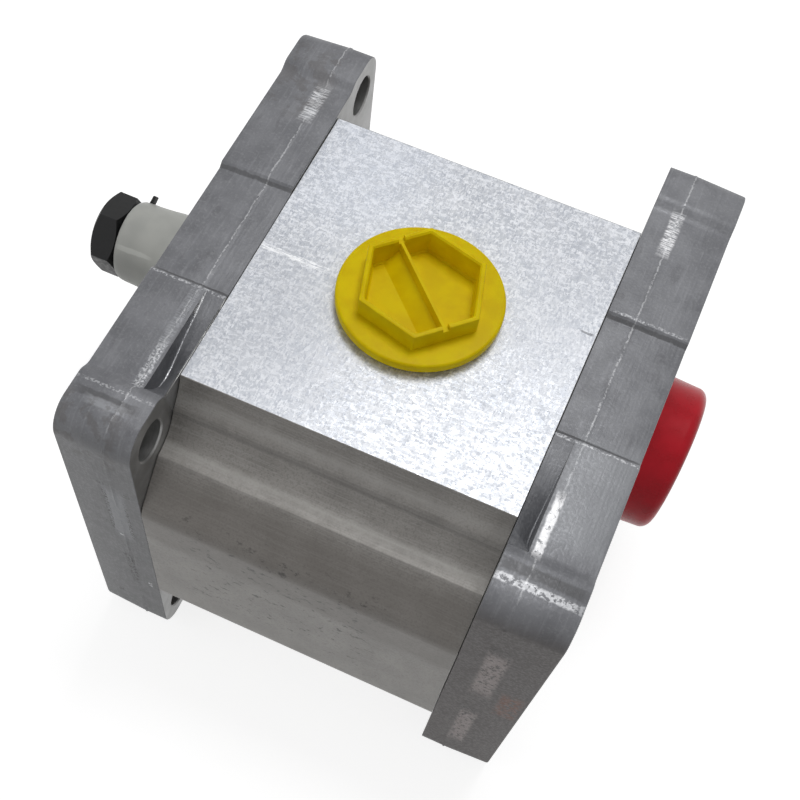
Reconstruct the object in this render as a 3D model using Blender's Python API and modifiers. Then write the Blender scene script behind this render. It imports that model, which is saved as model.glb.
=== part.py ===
"""External gear pump with a mounting flange at the front and a matching cover at the rear.

X runs along the shaft, away from the mounting face, Y runs across both gear axes and Z points
up, out of the inlet port. The origin is at the middle of the underside of the bounding box.
"""
import math

import bmesh
import bpy
from mathutils import Matrix, Vector

# Clearances, in metres as everything here, and how far a cutter runs past a face
SEAT_GAP = 0.0003
RUN_GAP = 0.0003
OVERRUN = 0.002

# Gears
TEETH = 12
MODULE = 0.0026
PRESSURE_ANGLE = math.radians(20)
TIP_HEIGHT = 0.0026
TIP_CLEARANCE = 0.0004
BACKLASH = 0.0005
TOOTH_LEVELS = 3

# Shafts, bearings and bearing blocks
JOURNAL_RADIUS = 0.009
BEARING_WALL = 0.0015
BEARING_INSET = 0.0008
BLOCK_LENGTH = 0.0204
DRIVEN_INSET = 0.002

# Body
BODY_LENGTH = 0.0669
PORT_FACE_HEIGHT = 0.04107
PORT_FACE_NEAR = 0.0359
PORT_FACE_FAR = 0.0342
BODY_HALF_WIDTH = 0.0558
FLANK_HALF_HEIGHT = 0.0200
FLANK_RIDGE = (0.0469, 0.0286)
FLANK_CREASE = (0.0398, 0.0345)
FLANK_LOWER_HOLLOW = 0.0014
FLANK_UPPER_HOLLOW = 0.0006
FLANK_END_RADIUS = 0.005
FLANK_RIDGE_RADIUS = 0.001
FLANK_CREASE_RADIUS = 0.0006
PORT_FACE_NEAR_EDGE = 0.0003
PORT_FACE_FAR_EDGE = 0.0012

# Covers: bolt pattern, ears and outline
BOLT_EDGE = 0.0077
BOLT_SPAN_Z = 0.0714
BOLT_HOLE_RADIUS = 0.00425
EAR_RADIUS = 0.0077
EAR_WIDTH = 0.0042
NECK_WIDTH = 0.0022
NECK_RADIUS = 0.003
SIDE_HEIGHT = 0.0421
WAIST_HEIGHT = 0.0411
WAIST_NEAR = 0.0158
WAIST_FAR = 0.0122
WAIST_STEP = 0.0012
FRONT_THICKNESS = 0.0161
REAR_THICKNESS = 0.0164
PARTING_DEPTH = 0.0055
DRAFT_OUTSIDE = 0.0004
DRAFT_INSIDE = 0.0002
SCOOP_START = 0.0175
SCOOP_END = 0.0435
SCOOP_DEPTH = 0.0048
SCOOP_WIDTH = 0.0046
SCOOP_TILT = math.radians(12)

# Pilot, shaft seal and shaft end
PILOT_RADIUS = 0.01825
PILOT_HEIGHT = 0.0055
PILOT_CHAMFER = 0.0008
SEAL_POCKET_RADIUS = 0.0150
SEAL_LENGTH = 0.007
SEAL_WALL = 0.0012
RING_WIDTH = 0.0011
RING_RADIAL = 0.0021
RING_BITE = 0.0006
RING_SETBACK = 0.0012
RING_OPENING = math.radians(40)
SPRING_WIRE = 0.0005
SPRING_AT = 0.0043
LIP_AT = 0.0042
LIP_END = 0.00595
LIP_BACK = 0.0018
TAPER_START = 0.0086
TAPER_LENGTH = 0.016
TAPER_RADIUS = 0.0084
TAPER_RATIO = 8
THREAD_RADIUS = 0.00575
THREAD_REACH = 0.0015
SHAFT_CHAMFER = 0.0008
WASHER_THICKNESS = 0.0022
WASHER_RADIAL = 0.0018
NUT_HEIGHT = 0.0064
NUT_ACROSS_FLATS = 0.017
NUT_CHAMFER = 0.0009
NUT_CHAMFER_LENGTH = 0.00144
NUT_FACE_INSET = 0.00036
NUT_TURN = math.radians(20)
SLEEVE_RADIUS = 0.0094
SLEEVE_FLARE = 0.001
SLEEVE_WALL = 0.001
SLEEVE_EDGE = 0.0006
SLEEVE_EDGE_LENGTH = 0.0009
SLEEVE_BORE_RUN = 0.001
KEY_RADIUS = 0.0055
KEY_WIDTH = 0.003
KEY_CENTRE = 0.0076
KEY_STATION = 0.0228
KEY_TILT = math.radians(38)
KEY_ANGLE = math.radians(34)

# Rear drive: tongue, coupling and cap
STUB_RADIUS = 0.008
STUB_LENGTH = 0.0045
TONGUE_LENGTH = 0.0055
TONGUE_WIDTH = 0.007
COUPLING_RADIUS = 0.0125
COUPLING_LENGTH = 0.013
COUPLING_BRIDGE = 0.002
RECESS_DEPTH = 0.0055
CAP_REACH = 0.011
CAP_RADIUS = 0.01665
CAP_FLARE = 0.0005
CAP_WALL = 0.0016
CAP_ROUND = 0.0022
CAP_LIP = 0.003
CAP_LIP_STEP = 0.0005
CAP_LIP_CHAMFER = 0.0006

# Fasteners, dowels and seals
SCREW_AT = (0.037, 0.021)
SCREW_RADIUS = 0.004
SCREW_HEAD_RADIUS = 0.0065
SCREW_HEAD_HEIGHT = 0.008
SCREW_ENGAGEMENT = 0.0115
SCREW_HEAD_EDGE = 0.0006
SCREW_TIP_CHAMFER = 0.0008
SCREW_HEAD_SINK = 0.0004
SOCKET_ACROSS_FLATS = 0.006
SOCKET_DEPTH = 0.004
SCREW_WASHER_RADIUS = 0.0075
SCREW_WASHER_THICKNESS = 0.0016
DOWEL_RADIUS = 0.0025
DOWEL_LENGTH = 0.012
BODY_SEAL_REACH = 0.0206
BODY_SEAL_WIRE = 0.0009
BLOCK_SEAL_REACH = 0.0146
BLOCK_SEAL_WIRE = 0.00085
SEAL_SINK = 0.0009

# Ports and plugs
PORT_Y = -0.0012
INLET_RADIUS = 0.0132
INLET_DEPTH = 0.017
OUTLET_RADIUS = 0.0104
OUTLET_DEPTH = 0.016
PASSAGE_RADIUS = 0.0085
PASSAGE_END = 0.0046
PLUG_STEM = 0.012
PLUG_FLANGE_RADIUS = 0.0164
PLUG_FLANGE = 0.0022
PLUG_HEX_CORNER = 0.0131
PLUG_HEX_TURN = math.radians(-14.7)
PLUG_HEX_TOP = 0.0066
PLUG_HEX_WALL = 0.0011
PLUG_FLOOR = 0.0015
PLUG_WEB_WIDTH = 0.0012
PLUG_WEB_SINK = 0.0009
PLUG_WEB_ROOT = 0.0005
PLUG_RAMP_WIDTH = 0.0036
PLUG_NOTCH_WIDTH = 0.0016
PLUG_FLOOR_SCALE = 0.96
PLUG_EDGE = 0.0005
PLUG_END_CHAMFER = 0.001
OUTLET_FLANGE_RADIUS = 0.0138
OUTLET_FLANGE = 0.0015
OUTLET_EDGE = 0.0004
OUTLET_SLOT_WIDTH = 0.003
OUTLET_SLOT_INSET = 0.002
OUTLET_SLOT_DEPTH = 0.003

# Values that follow from those above
BOLT_SPAN_Y = 2 * (BODY_HALF_WIDTH - BOLT_EDGE)
PITCH_RADIUS = MODULE * TEETH / 2
AXIS_Y = PITCH_RADIUS
TIP_RADIUS = PITCH_RADIUS + TIP_HEIGHT
ROOT_RADIUS = PITCH_RADIUS - TIP_HEIGHT - TIP_CLEARANCE
CHAMBER_RADIUS = TIP_RADIUS + RUN_GAP
BEARING_RADIUS = JOURNAL_RADIUS + RUN_GAP + BEARING_WALL
GEAR_WIDTH = BODY_LENGTH - 2 * (BLOCK_LENGTH + RUN_GAP)
BODY_START = FRONT_THICKNESS + SEAT_GAP
BODY_END = BODY_START + BODY_LENGTH
REAR_START = BODY_END + SEAT_GAP
REAR_END = REAR_START + REAR_THICKNESS
GEAR_START = BODY_START + BLOCK_LENGTH + RUN_GAP
GEAR_END = GEAR_START + GEAR_WIDTH
EAR_TOP = BOLT_SPAN_Z / 2 + EAR_RADIUS
EAR_END = BODY_HALF_WIDTH
SEAL_GROOVE_END = AXIS_Y + BODY_SEAL_REACH + BODY_SEAL_WIRE + SEAT_GAP
DOWEL_AT = (SEAL_GROOVE_END + BODY_HALF_WIDTH) / 2
TAPER_END = TAPER_START + TAPER_LENGTH
WASHER_SEAT = TAPER_END + SEAT_GAP
NUT_SEAT = WASHER_SEAT + WASHER_THICKNESS + SEAT_GAP
NUT_END = NUT_SEAT + NUT_HEIGHT
SHAFT_FRONT = TAPER_END + WASHER_THICKNESS + NUT_HEIGHT + THREAD_REACH
CAP_END = REAR_END + CAP_REACH
MIDDLE_X = (CAP_END - SHAFT_FRONT) / 2
PORT_X = (BODY_START + BODY_END) / 2

# Local Z of a piece that lies along the shaft points along X, and its local X along Y
ALONG_SHAFT = Matrix(((0, 0, 1), (1, 0, 0), (0, 1, 0))).to_euler()
MERGE = 0.000001

# Facets: steps per full turn, and steps along a path
STEPS = 28
SMALL_STEPS = 12
FASTENER_STEPS = 12
CORNER_STEPS = 22
FLANK_STEPS = 36
HOLLOW_STEPS = 4
KEY_STEPS = 26
SCOOP_STEPS = 44
CHAMBER_STEPS = 20
SEAL_STEPS = 8
CROWN_STEPS = 9
SPRING_STEPS = 16
RING_STEPS = 14
CROWN_REACH = math.pi * 0.86
SHARP_ANGLE = math.radians(32)


def clear_scene():
    for item in list(bpy.data.objects):
        bpy.data.objects.remove(item)


def make_material(name, colour, roughness, metallic):
    made = bpy.data.materials.new(name)
    made.use_nodes = True
    shader = made.node_tree.nodes["Principled BSDF"]
    shader.inputs["Base Color"].default_value = (*colour, 1)
    shader.inputs["Roughness"].default_value = roughness
    shader.inputs["Metallic"].default_value = metallic
    return made


clear_scene()
PARTS = bpy.data.collections.new("gear_pump")
CUTTERS = bpy.data.collections.new("cutters")
bpy.context.scene.collection.children.link(PARTS)
bpy.context.scene.collection.children.link(CUTTERS)
ROOT = bpy.data.objects.new("gear_pump_origin", None)
ROOT.location = (-MIDDLE_X, 0, EAR_TOP)
PARTS.objects.link(ROOT)

CAST = ((0.42, 0.42, 0.43), 0.5, 1.0)
EXTRUDED = ((0.62, 0.62, 0.63), 0.4, 1.0)
STEEL = ((0.35, 0.35, 0.36), 0.3, 1.0)
BLACK_STEEL = ((0.03, 0.03, 0.035), 0.45, 0.6)
BRONZE = ((0.45, 0.3, 0.14), 0.4, 1.0)
RUBBER = ((0.02, 0.02, 0.02), 0.7, 0.0)
WHITE_PLASTIC = ((0.72, 0.72, 0.66), 0.4, 0.0)
YELLOW_PLASTIC = ((0.9, 0.75, 0.01), 0.4, 0.0)
RED_PLASTIC = ((0.5, 0.01, 0.02), 0.25, 0.0)


def add_object(name, mesh, place, finish=None, along_shaft=True):
    """Puts a mesh in the parts with a finish, or in the cutters without one."""
    made = bpy.data.objects.new(name, mesh)
    made.location = place
    made.parent = ROOT
    if along_shaft:
        made.rotation_euler = ALONG_SHAFT
    if finish is None:
        CUTTERS.objects.link(made)
        made.hide_render = True
        made.display_type = "WIRE"
        return made
    PARTS.objects.link(made)
    mesh.materials.append(make_material(name, *finish))
    return made


def finish_mesh(bm, name):
    bmesh.ops.recalc_face_normals(bm, faces=bm.faces)
    mesh = bpy.data.meshes.new(name)
    bm.to_mesh(mesh)
    bm.free()
    mesh.shade_smooth()
    mesh.set_sharp_from_angle(angle=SHARP_ANGLE)
    return mesh


def prism(name, outline, stations, place=(0, 0, 0), finish=None, along_shaft=True):
    """Extrudes a flat outline through stations of height and scale."""
    bm = bmesh.new()
    height, scale = stations[0]
    face = bm.faces.new([bm.verts.new((a * scale, b * scale, height)) for a, b in outline])
    for next_height, next_scale in stations[1:]:
        made = bmesh.ops.extrude_face_region(bm, geom=[face])
        if height != stations[0][0]:
            bmesh.ops.delete(bm, geom=[face], context="FACES_ONLY")
        face = next(item for item in made["geom"] if isinstance(item, bmesh.types.BMFace))
        ratio = next_scale / scale
        bmesh.ops.scale(bm, vec=(ratio, ratio, 1), verts=face.verts)
        bmesh.ops.translate(bm, vec=(0, 0, next_height - height), verts=face.verts)
        height, scale = next_height, next_scale
    return add_object(name, finish_mesh(bm, name), place, finish, along_shaft)


def turned(name, profile, place=(0, 0, 0), finish=None, along_shaft=True, steps=STEPS,
           ring=False):
    """Spins a profile of (radius, height), which runs down its outer side, about local Z."""
    mesh = bpy.data.meshes.new(name)
    points = [(radius, 0, height) for radius, height in profile]
    edges = [(i, i + 1) for i in range(len(points) - 1)]
    if ring:
        edges.append((len(points) - 1, 0))
    mesh.from_pydata(points, edges, [])
    made = add_object(name, mesh, place, finish, along_shaft)
    spin = made.modifiers.new("turn", "SCREW")
    spin.steps = steps
    spin.render_steps = steps
    spin.use_merge_vertices = True
    spin.merge_threshold = MERGE
    return made


def cylinder(name, radius, low, high, place=(0, 0, 0), finish=None, along_shaft=True,
             steps=FASTENER_STEPS):
    profile = [(0, high), (radius, high), (radius, low), (0, low)]
    return turned(name, profile, place, finish, along_shaft, steps)


def block(name, low, high, place=(0, 0, 0), finish=None, along_shaft=True, turn=0.0, tilt=0.0):
    """A box between two corners, turned about local Z and tilted about local X."""
    bm = bmesh.new()
    bmesh.ops.create_cube(bm, size=1)
    size = Vector(high) - Vector(low)
    centre = (Vector(high) + Vector(low)) / 2
    bmesh.ops.scale(bm, vec=size, verts=bm.verts)
    bmesh.ops.translate(bm, vec=centre, verts=bm.verts)
    bmesh.ops.rotate(bm, matrix=Matrix.Rotation(tilt, 3, "X"), verts=bm.verts)
    bmesh.ops.rotate(bm, matrix=Matrix.Rotation(turn, 3, "Z"), verts=bm.verts)
    return add_object(name, finish_mesh(bm, name), place, finish, along_shaft)


def boolean(target, tool, operation="DIFFERENCE"):
    step = target.modifiers.new(tool.name, "BOOLEAN")
    step.operation = operation
    step.solver = "EXACT"
    step.object = tool


def rounded(corners, per_turn=CORNER_STEPS):
    """A closed outline whose corners (a, b, radius) are arcs tangent to both sides."""
    outline = []
    for i, (a, b, radius) in enumerate(corners):
        here = Vector((a, b))
        back = Vector(corners[i - 1][:2]) - here
        ahead = Vector(corners[(i + 1) % len(corners)][:2]) - here
        half = back.angle(ahead) / 2
        reach = min(radius / math.tan(half), 0.49 * back.length, 0.49 * ahead.length)
        radius = reach * math.tan(half)
        if radius < MERGE:
            outline.append((a, b))
            continue
        middle = here + (back.normalized() + ahead.normalized()).normalized() * radius / math.sin(half)
        first = here + back.normalized() * reach - middle
        last = here + ahead.normalized() * reach - middle
        sweep = first.angle_signed(last)
        steps = max(1, round(abs(sweep) / (2 * math.pi) * per_turn))
        for k in range(steps + 1):
            spoke = first.copy()
            spoke.rotate(Matrix.Rotation(-sweep * k / steps, 2))
            outline.append(tuple(middle + spoke))
    return outline


def mirrored(upper):
    """Closes the upper half of an outline with its mirror image below."""
    return upper + [(a, -b, radius) for a, b, radius in reversed(upper)]


def cover_outline():
    ear_foot = BOLT_SPAN_Y / 2 - EAR_WIDTH
    neck = ear_foot - NECK_WIDTH
    near = [
        (-EAR_END, EAR_TOP, EAR_RADIUS),
        (-ear_foot, EAR_TOP, NECK_RADIUS),
        (-neck, SIDE_HEIGHT, NECK_RADIUS),
        (-WAIST_NEAR - WAIST_STEP, SIDE_HEIGHT, WAIST_STEP / 2),
        (-WAIST_NEAR, WAIST_HEIGHT, WAIST_STEP / 2),
    ]
    far = [
        (WAIST_FAR, WAIST_HEIGHT, WAIST_STEP / 2),
        (WAIST_FAR + WAIST_STEP, SIDE_HEIGHT, WAIST_STEP / 2),
        (neck, SIDE_HEIGHT, NECK_RADIUS),
        (ear_foot, EAR_TOP, NECK_RADIUS),
        (EAR_END, EAR_TOP, EAR_RADIUS),
    ]
    return rounded(mirrored(near + far))


def hollow_arc(start, end, depth):
    """Sharp corners along a shallow arc that sinks to the left of the way from start to end."""
    way = Vector(end) - Vector(start)
    inward = Vector((-way.y, way.x)).normalized()
    corners = []
    for k in range(1, HOLLOW_STEPS):
        share = k / HOLLOW_STEPS
        sink = 4 * share * (1 - share) * depth
        corners.append((*(Vector(start) + way * share + inward * sink), 0))
    return corners


def flank(edge, edge_radius):
    """The corners of one flank: an end face, a ridge and a crease with hollows between, the port edge."""
    return [
        (BODY_HALF_WIDTH, FLANK_HALF_HEIGHT, FLANK_END_RADIUS),
        (*FLANK_RIDGE, FLANK_RIDGE_RADIUS),
        *hollow_arc(FLANK_RIDGE, FLANK_CREASE, FLANK_LOWER_HOLLOW),
        (*FLANK_CREASE, FLANK_CREASE_RADIUS),
        *hollow_arc(FLANK_CREASE, edge, FLANK_UPPER_HOLLOW),
        (*edge, edge_radius),
    ]


def body_outline():
    """The extruded body's section: a flat port face and end faces, with two hollows on each flank."""
    near = flank((PORT_FACE_NEAR, PORT_FACE_HEIGHT), PORT_FACE_NEAR_EDGE)
    far = flank((PORT_FACE_FAR, PORT_FACE_HEIGHT), PORT_FACE_FAR_EDGE)
    upper = [(-y, z, radius) for y, z, radius in near] + far[::-1]
    return rounded(mirrored(upper), per_turn=FLANK_STEPS)


def twin_outline(radius, steps=CHAMBER_STEPS):
    """The outline of two crossing circles, one about each gear axis."""
    cusp = math.acos(AXIS_Y / radius)
    reach = math.pi - cusp
    right = []
    for k in range(steps + 1):
        angle = -reach + 2 * reach * k / steps
        right.append((AXIS_Y + radius * math.cos(angle), radius * math.sin(angle)))
    left = [(-a, -b) for a, b in right]
    return right[:-1] + left[:-1]


def involute(radius):
    """The angle by which an involute flank has turned at a radius."""
    base = PITCH_RADIUS * math.cos(PRESSURE_ANGLE)
    if radius <= base:
        return 0.0
    along = math.sqrt((radius / base) ** 2 - 1)
    return along - math.atan(along)


def gear_outline(turn):
    half_pitch = (math.pi * MODULE / 2 - BACKLASH) / (2 * PITCH_RADIUS)
    lift = involute(PITCH_RADIUS)
    base = PITCH_RADIUS * math.cos(PRESSURE_ANGLE)
    levels = [ROOT_RADIUS, base]
    levels += [base + (TIP_RADIUS - base) * k / TOOTH_LEVELS for k in range(1, TOOTH_LEVELS + 1)]
    outline = []
    for tooth in range(TEETH):
        middle = turn + 2 * math.pi * tooth / TEETH
        rising = [(radius, -(half_pitch + lift - involute(radius))) for radius in levels]
        falling = [(radius, -angle) for radius, angle in reversed(rising)]
        for radius, angle in rising + falling:
            outline.append((radius * math.cos(middle + angle), radius * math.sin(middle + angle)))
    return outline


def tube(name, path, radius, place, finish=None, closed=True):
    """A round wire of a polyline of (y, z) points, made a closed mesh."""
    data = bpy.data.curves.new(name, "CURVE")
    data.dimensions = "3D"
    data.bevel_depth = radius
    data.bevel_resolution = 1
    data.use_fill_caps = True
    line = data.splines.new("POLY")
    line.points.add(len(path) - 1)
    for point, (a, b) in zip(line.points, path):
        point.co = (a, b, 0, 1)
    line.use_cyclic_u = closed
    curve = bpy.data.objects.new(name, data)
    PARTS.objects.link(curve)
    graph = bpy.context.evaluated_depsgraph_get()
    mesh = bpy.data.meshes.new_from_object(curve.evaluated_get(graph))
    bpy.data.objects.remove(curve)
    bm = bmesh.new()
    bm.from_mesh(mesh)
    bmesh.ops.remove_doubles(bm, verts=bm.verts, dist=MERGE)
    return add_object(name, finish_mesh(bm, name), place, finish)


def stadium_path(radius, steps=SEAL_STEPS):
    """A closed path round both gear axes."""
    path = []
    for side in (1, -1):
        for k in range(steps + 1):
            angle = -math.pi / 2 + math.pi * k / steps
            path.append((side * (AXIS_Y + radius * math.cos(angle)), side * radius * math.sin(angle)))
    return path


def crown_path(radius, steps=CROWN_STEPS):
    """An open path over both journals that dips between them."""
    start = -math.pi / 2
    stop = CROWN_REACH
    path = []
    for k in range(steps + 1):
        angle = start + (stop - start) * k / steps
        path.append((AXIS_Y + radius * math.cos(angle), radius * math.sin(angle)))
    return path + [(-a, b) for a, b in reversed(path)]


def corner_places(half_y, half_z):
    for side_y, where_y in ((-1, "near"), (1, "far")):
        for side_z, where_z in ((-1, "lower"), (1, "upper")):
            yield f"{where_y}_{where_z}", side_y * half_y, side_z * half_z


def cut_bolt_holes(cover, start, length):
    for where, y, z in corner_places(BOLT_SPAN_Y / 2, BOLT_SPAN_Z / 2):
        hole = cylinder(f"{cover.name}_bolt_{where}", BOLT_HOLE_RADIUS, -OVERRUN, length + OVERRUN,
                        (start, y, z))
        boolean(cover, hole)


def cut_scoops(cover, wall_x, direction):
    """Hollows the edge beside the body, on the near side, above and below."""
    chord = (SCOOP_END - SCOOP_START) / 2
    radius = (chord ** 2 + SCOOP_DEPTH ** 2) / (2 * SCOOP_DEPTH)
    middle_y = -(SCOOP_START + SCOOP_END) / 2
    lift = SIDE_HEIGHT - SCOOP_DEPTH + radius
    for side, where in ((1, "upper"), (-1, "lower")):
        bm = bmesh.new()
        depth = SCOOP_WIDTH * 3
        bmesh.ops.create_cone(bm, cap_ends=True, segments=SCOOP_STEPS, radius1=radius, radius2=radius,
                              depth=depth)
        bmesh.ops.translate(bm, vec=(0, 0, direction * depth / 2), verts=bm.verts)
        pivot = Matrix.Translation((0, -side * radius, 0))
        lean = Matrix.Rotation(direction * side * SCOOP_TILT, 4, "X")
        bmesh.ops.transform(bm, matrix=pivot @ lean @ pivot.inverted(), verts=bm.verts)
        cutter = add_object(f"{cover.name}_scoop_{where}", finish_mesh(bm, "scoop"),
                            (wall_x, middle_y, side * lift))
        boolean(cover, cutter)


def cut_dowel_holes(target, face_x, length):
    for side, where in ((-1, "near"), (1, "far")):
        hole = cylinder(f"{target.name}_dowel_{where}_{face_x:.4f}", DOWEL_RADIUS + SEAT_GAP,
                        -length, length, (face_x, side * DOWEL_AT, 0), steps=SMALL_STEPS)
        boolean(target, hole)


def scale_for(inset):
    return 1 - inset / EAR_END


def make_front_cover():
    parting = FRONT_THICKNESS - PARTING_DEPTH
    stations = [
        (0, scale_for(DRAFT_OUTSIDE)),
        (parting, 1),
        (FRONT_THICKNESS, scale_for(DRAFT_INSIDE)),
    ]
    cover = prism("front_cover", cover_outline(), stations, finish=CAST)
    pilot = turned("front_pilot", [
        (0, OVERRUN),
        (PILOT_RADIUS, OVERRUN),
        (PILOT_RADIUS, -PILOT_HEIGHT + PILOT_CHAMFER),
        (PILOT_RADIUS - PILOT_CHAMFER, -PILOT_HEIGHT),
        (0, -PILOT_HEIGHT),
    ], (0, AXIS_Y, 0))
    boolean(cover, pilot, "UNION")
    pocket_end = -PILOT_HEIGHT + RING_SETBACK + RING_WIDTH + 2 * SEAT_GAP + SEAL_LENGTH + SEAT_GAP
    groove_start = -PILOT_HEIGHT + RING_SETBACK
    groove_end = groove_start + RING_WIDTH + 2 * SEAT_GAP
    groove_radius = SEAL_POCKET_RADIUS + RING_BITE + SEAT_GAP
    shaft_way = turned("front_shaft_way", [
        (0, FRONT_THICKNESS + OVERRUN),
        (JOURNAL_RADIUS + RUN_GAP, FRONT_THICKNESS + OVERRUN),
        (JOURNAL_RADIUS + RUN_GAP, pocket_end),
        (SEAL_POCKET_RADIUS, pocket_end),
        (SEAL_POCKET_RADIUS, groove_end),
        (groove_radius, groove_end),
        (groove_radius, groove_start),
        (SEAL_POCKET_RADIUS, groove_start),
        (SEAL_POCKET_RADIUS, -PILOT_HEIGHT - OVERRUN),
        (0, -PILOT_HEIGHT - OVERRUN),
    ], (0, AXIS_Y, 0))
    boolean(cover, shaft_way)
    cut_bolt_holes(cover, 0, FRONT_THICKNESS)
    depth = SCREW_ENGAGEMENT + SEAT_GAP
    for where, y, z in corner_places(*SCREW_AT):
        hole = cylinder(f"front_thread_{where}", SCREW_RADIUS + SEAT_GAP, -depth, OVERRUN,
                        (FRONT_THICKNESS, y, z))
        boolean(cover, hole)
    cut_dowel_holes(cover, FRONT_THICKNESS, DOWEL_LENGTH / 2 + SEAT_GAP)
    cut_scoops(cover, FRONT_THICKNESS - SCOOP_WIDTH, 1)
    return cover


def make_rear_cover():
    stations = [
        (0, scale_for(DRAFT_INSIDE)),
        (PARTING_DEPTH, 1),
        (REAR_THICKNESS, scale_for(DRAFT_OUTSIDE)),
    ]
    cover = prism("rear_cover", cover_outline(), stations, (REAR_START, 0, 0), CAST)
    pocket_start = STUB_LENGTH
    shaft_way = turned("rear_shaft_way", [
        (0, REAR_THICKNESS + OVERRUN),
        (PILOT_RADIUS, REAR_THICKNESS + OVERRUN),
        (PILOT_RADIUS, REAR_THICKNESS - RECESS_DEPTH),
        (COUPLING_RADIUS + RUN_GAP, REAR_THICKNESS - RECESS_DEPTH),
        (COUPLING_RADIUS + RUN_GAP, pocket_start),
        (STUB_RADIUS + RUN_GAP, pocket_start),
        (STUB_RADIUS + RUN_GAP, -OVERRUN),
        (0, -OVERRUN),
    ], (REAR_START, AXIS_Y, 0))
    boolean(cover, shaft_way)
    cut_bolt_holes(cover, REAR_START, REAR_THICKNESS)
    head_floor = REAR_THICKNESS - SCREW_HEAD_SINK - SCREW_HEAD_HEIGHT
    head_floor -= SCREW_WASHER_THICKNESS + 2 * SEAT_GAP
    for where, y, z in corner_places(*SCREW_AT):
        way = turned(f"rear_screw_way_{where}", [
            (0, REAR_THICKNESS + OVERRUN),
            (SCREW_WASHER_RADIUS + SEAT_GAP, REAR_THICKNESS + OVERRUN),
            (SCREW_WASHER_RADIUS + SEAT_GAP, head_floor),
            (SCREW_RADIUS + SEAT_GAP, head_floor),
            (SCREW_RADIUS + SEAT_GAP, -OVERRUN),
            (0, -OVERRUN),
        ], (REAR_START, y, z), steps=FASTENER_STEPS)
        boolean(cover, way)
    cut_dowel_holes(cover, REAR_START, DOWEL_LENGTH / 2 + SEAT_GAP)
    cut_scoops(cover, REAR_START + SCOOP_WIDTH, -1)
    return cover


def make_body():
    body = prism("pump_body", body_outline(), [(0, 1), (BODY_LENGTH, 1)], (BODY_START, 0, 0), EXTRUDED)
    chamber = prism("chamber", twin_outline(CHAMBER_RADIUS),
                    [(-OVERRUN, 1), (BODY_LENGTH + OVERRUN, 1)], (BODY_START, 0, 0))
    boolean(body, chamber)
    for name, side, radius, depth in (("inlet", 1, INLET_RADIUS, INLET_DEPTH),
                                      ("outlet", -1, OUTLET_RADIUS, OUTLET_DEPTH)):
        low = PORT_FACE_HEIGHT - depth
        port = turned(f"{name}_port", [
            (0, PORT_FACE_HEIGHT + OVERRUN),
            (radius, PORT_FACE_HEIGHT + OVERRUN),
            (radius, low),
            (PASSAGE_RADIUS, low),
            (PASSAGE_RADIUS, PASSAGE_END),
            (0, PASSAGE_END),
        ], (PORT_X, PORT_Y, 0), along_shaft=False)
        port.rotation_euler = (0 if side > 0 else math.pi, 0, 0)
        boolean(body, port)
    for where, y, z in corner_places(*SCREW_AT):
        hole = cylinder(f"body_screw_way_{where}", SCREW_RADIUS + SEAT_GAP, -OVERRUN,
                        BODY_LENGTH + OVERRUN, (BODY_START, y, z))
        boolean(body, hole)
    for face_x, inward in ((BODY_START, 1), (BODY_END, -1)):
        cut_dowel_holes(body, face_x, DOWEL_LENGTH / 2 + SEAT_GAP)
        groove = tube(f"body_seal_groove_{inward}", stadium_path(BODY_SEAL_REACH),
                      BODY_SEAL_WIRE + SEAT_GAP, (face_x + inward * SEAL_SINK, 0, 0))
        boolean(body, groove)
    return body


def make_seals():
    for face_x, inward, where in ((BODY_START, 1, "front"), (BODY_END, -1, "rear")):
        place = (face_x + inward * SEAL_SINK, 0, 0)
        tube(f"{where}_body_seal", stadium_path(BODY_SEAL_REACH), BODY_SEAL_WIRE, place, RUBBER)
        tube(f"{where}_block_seal", crown_path(BLOCK_SEAL_REACH), BLOCK_SEAL_WIRE, place, RUBBER,
             closed=False)


def make_bearing_block(where, start, face_x, inward):
    block_piece = prism(f"{where}_bearing_block", twin_outline(CHAMBER_RADIUS - SEAT_GAP),
                        [(0, 1), (BLOCK_LENGTH, 1)], (start, 0, 0), EXTRUDED)
    for side, axis in ((1, "drive"), (-1, "driven")):
        bore = cylinder(f"{where}_{axis}_bore", BEARING_RADIUS + SEAT_GAP, -OVERRUN,
                        BLOCK_LENGTH + OVERRUN, (start, side * AXIS_Y, 0), steps=STEPS)
        boolean(block_piece, bore)
        bearing_low = BEARING_INSET
        bearing_high = BLOCK_LENGTH - BEARING_INSET
        inner = JOURNAL_RADIUS + RUN_GAP
        turned(f"{where}_{axis}_bearing", [
            (BEARING_RADIUS, bearing_high),
            (BEARING_RADIUS, bearing_low),
            (inner, bearing_low),
            (inner, bearing_high),
        ], (start, side * AXIS_Y, 0), BRONZE, ring=True)
    groove = tube(f"{where}_block_groove", crown_path(BLOCK_SEAL_REACH),
                  BLOCK_SEAL_WIRE + SEAT_GAP, (face_x + inward * SEAL_SINK, 0, 0), closed=False)
    boolean(block_piece, groove)


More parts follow.
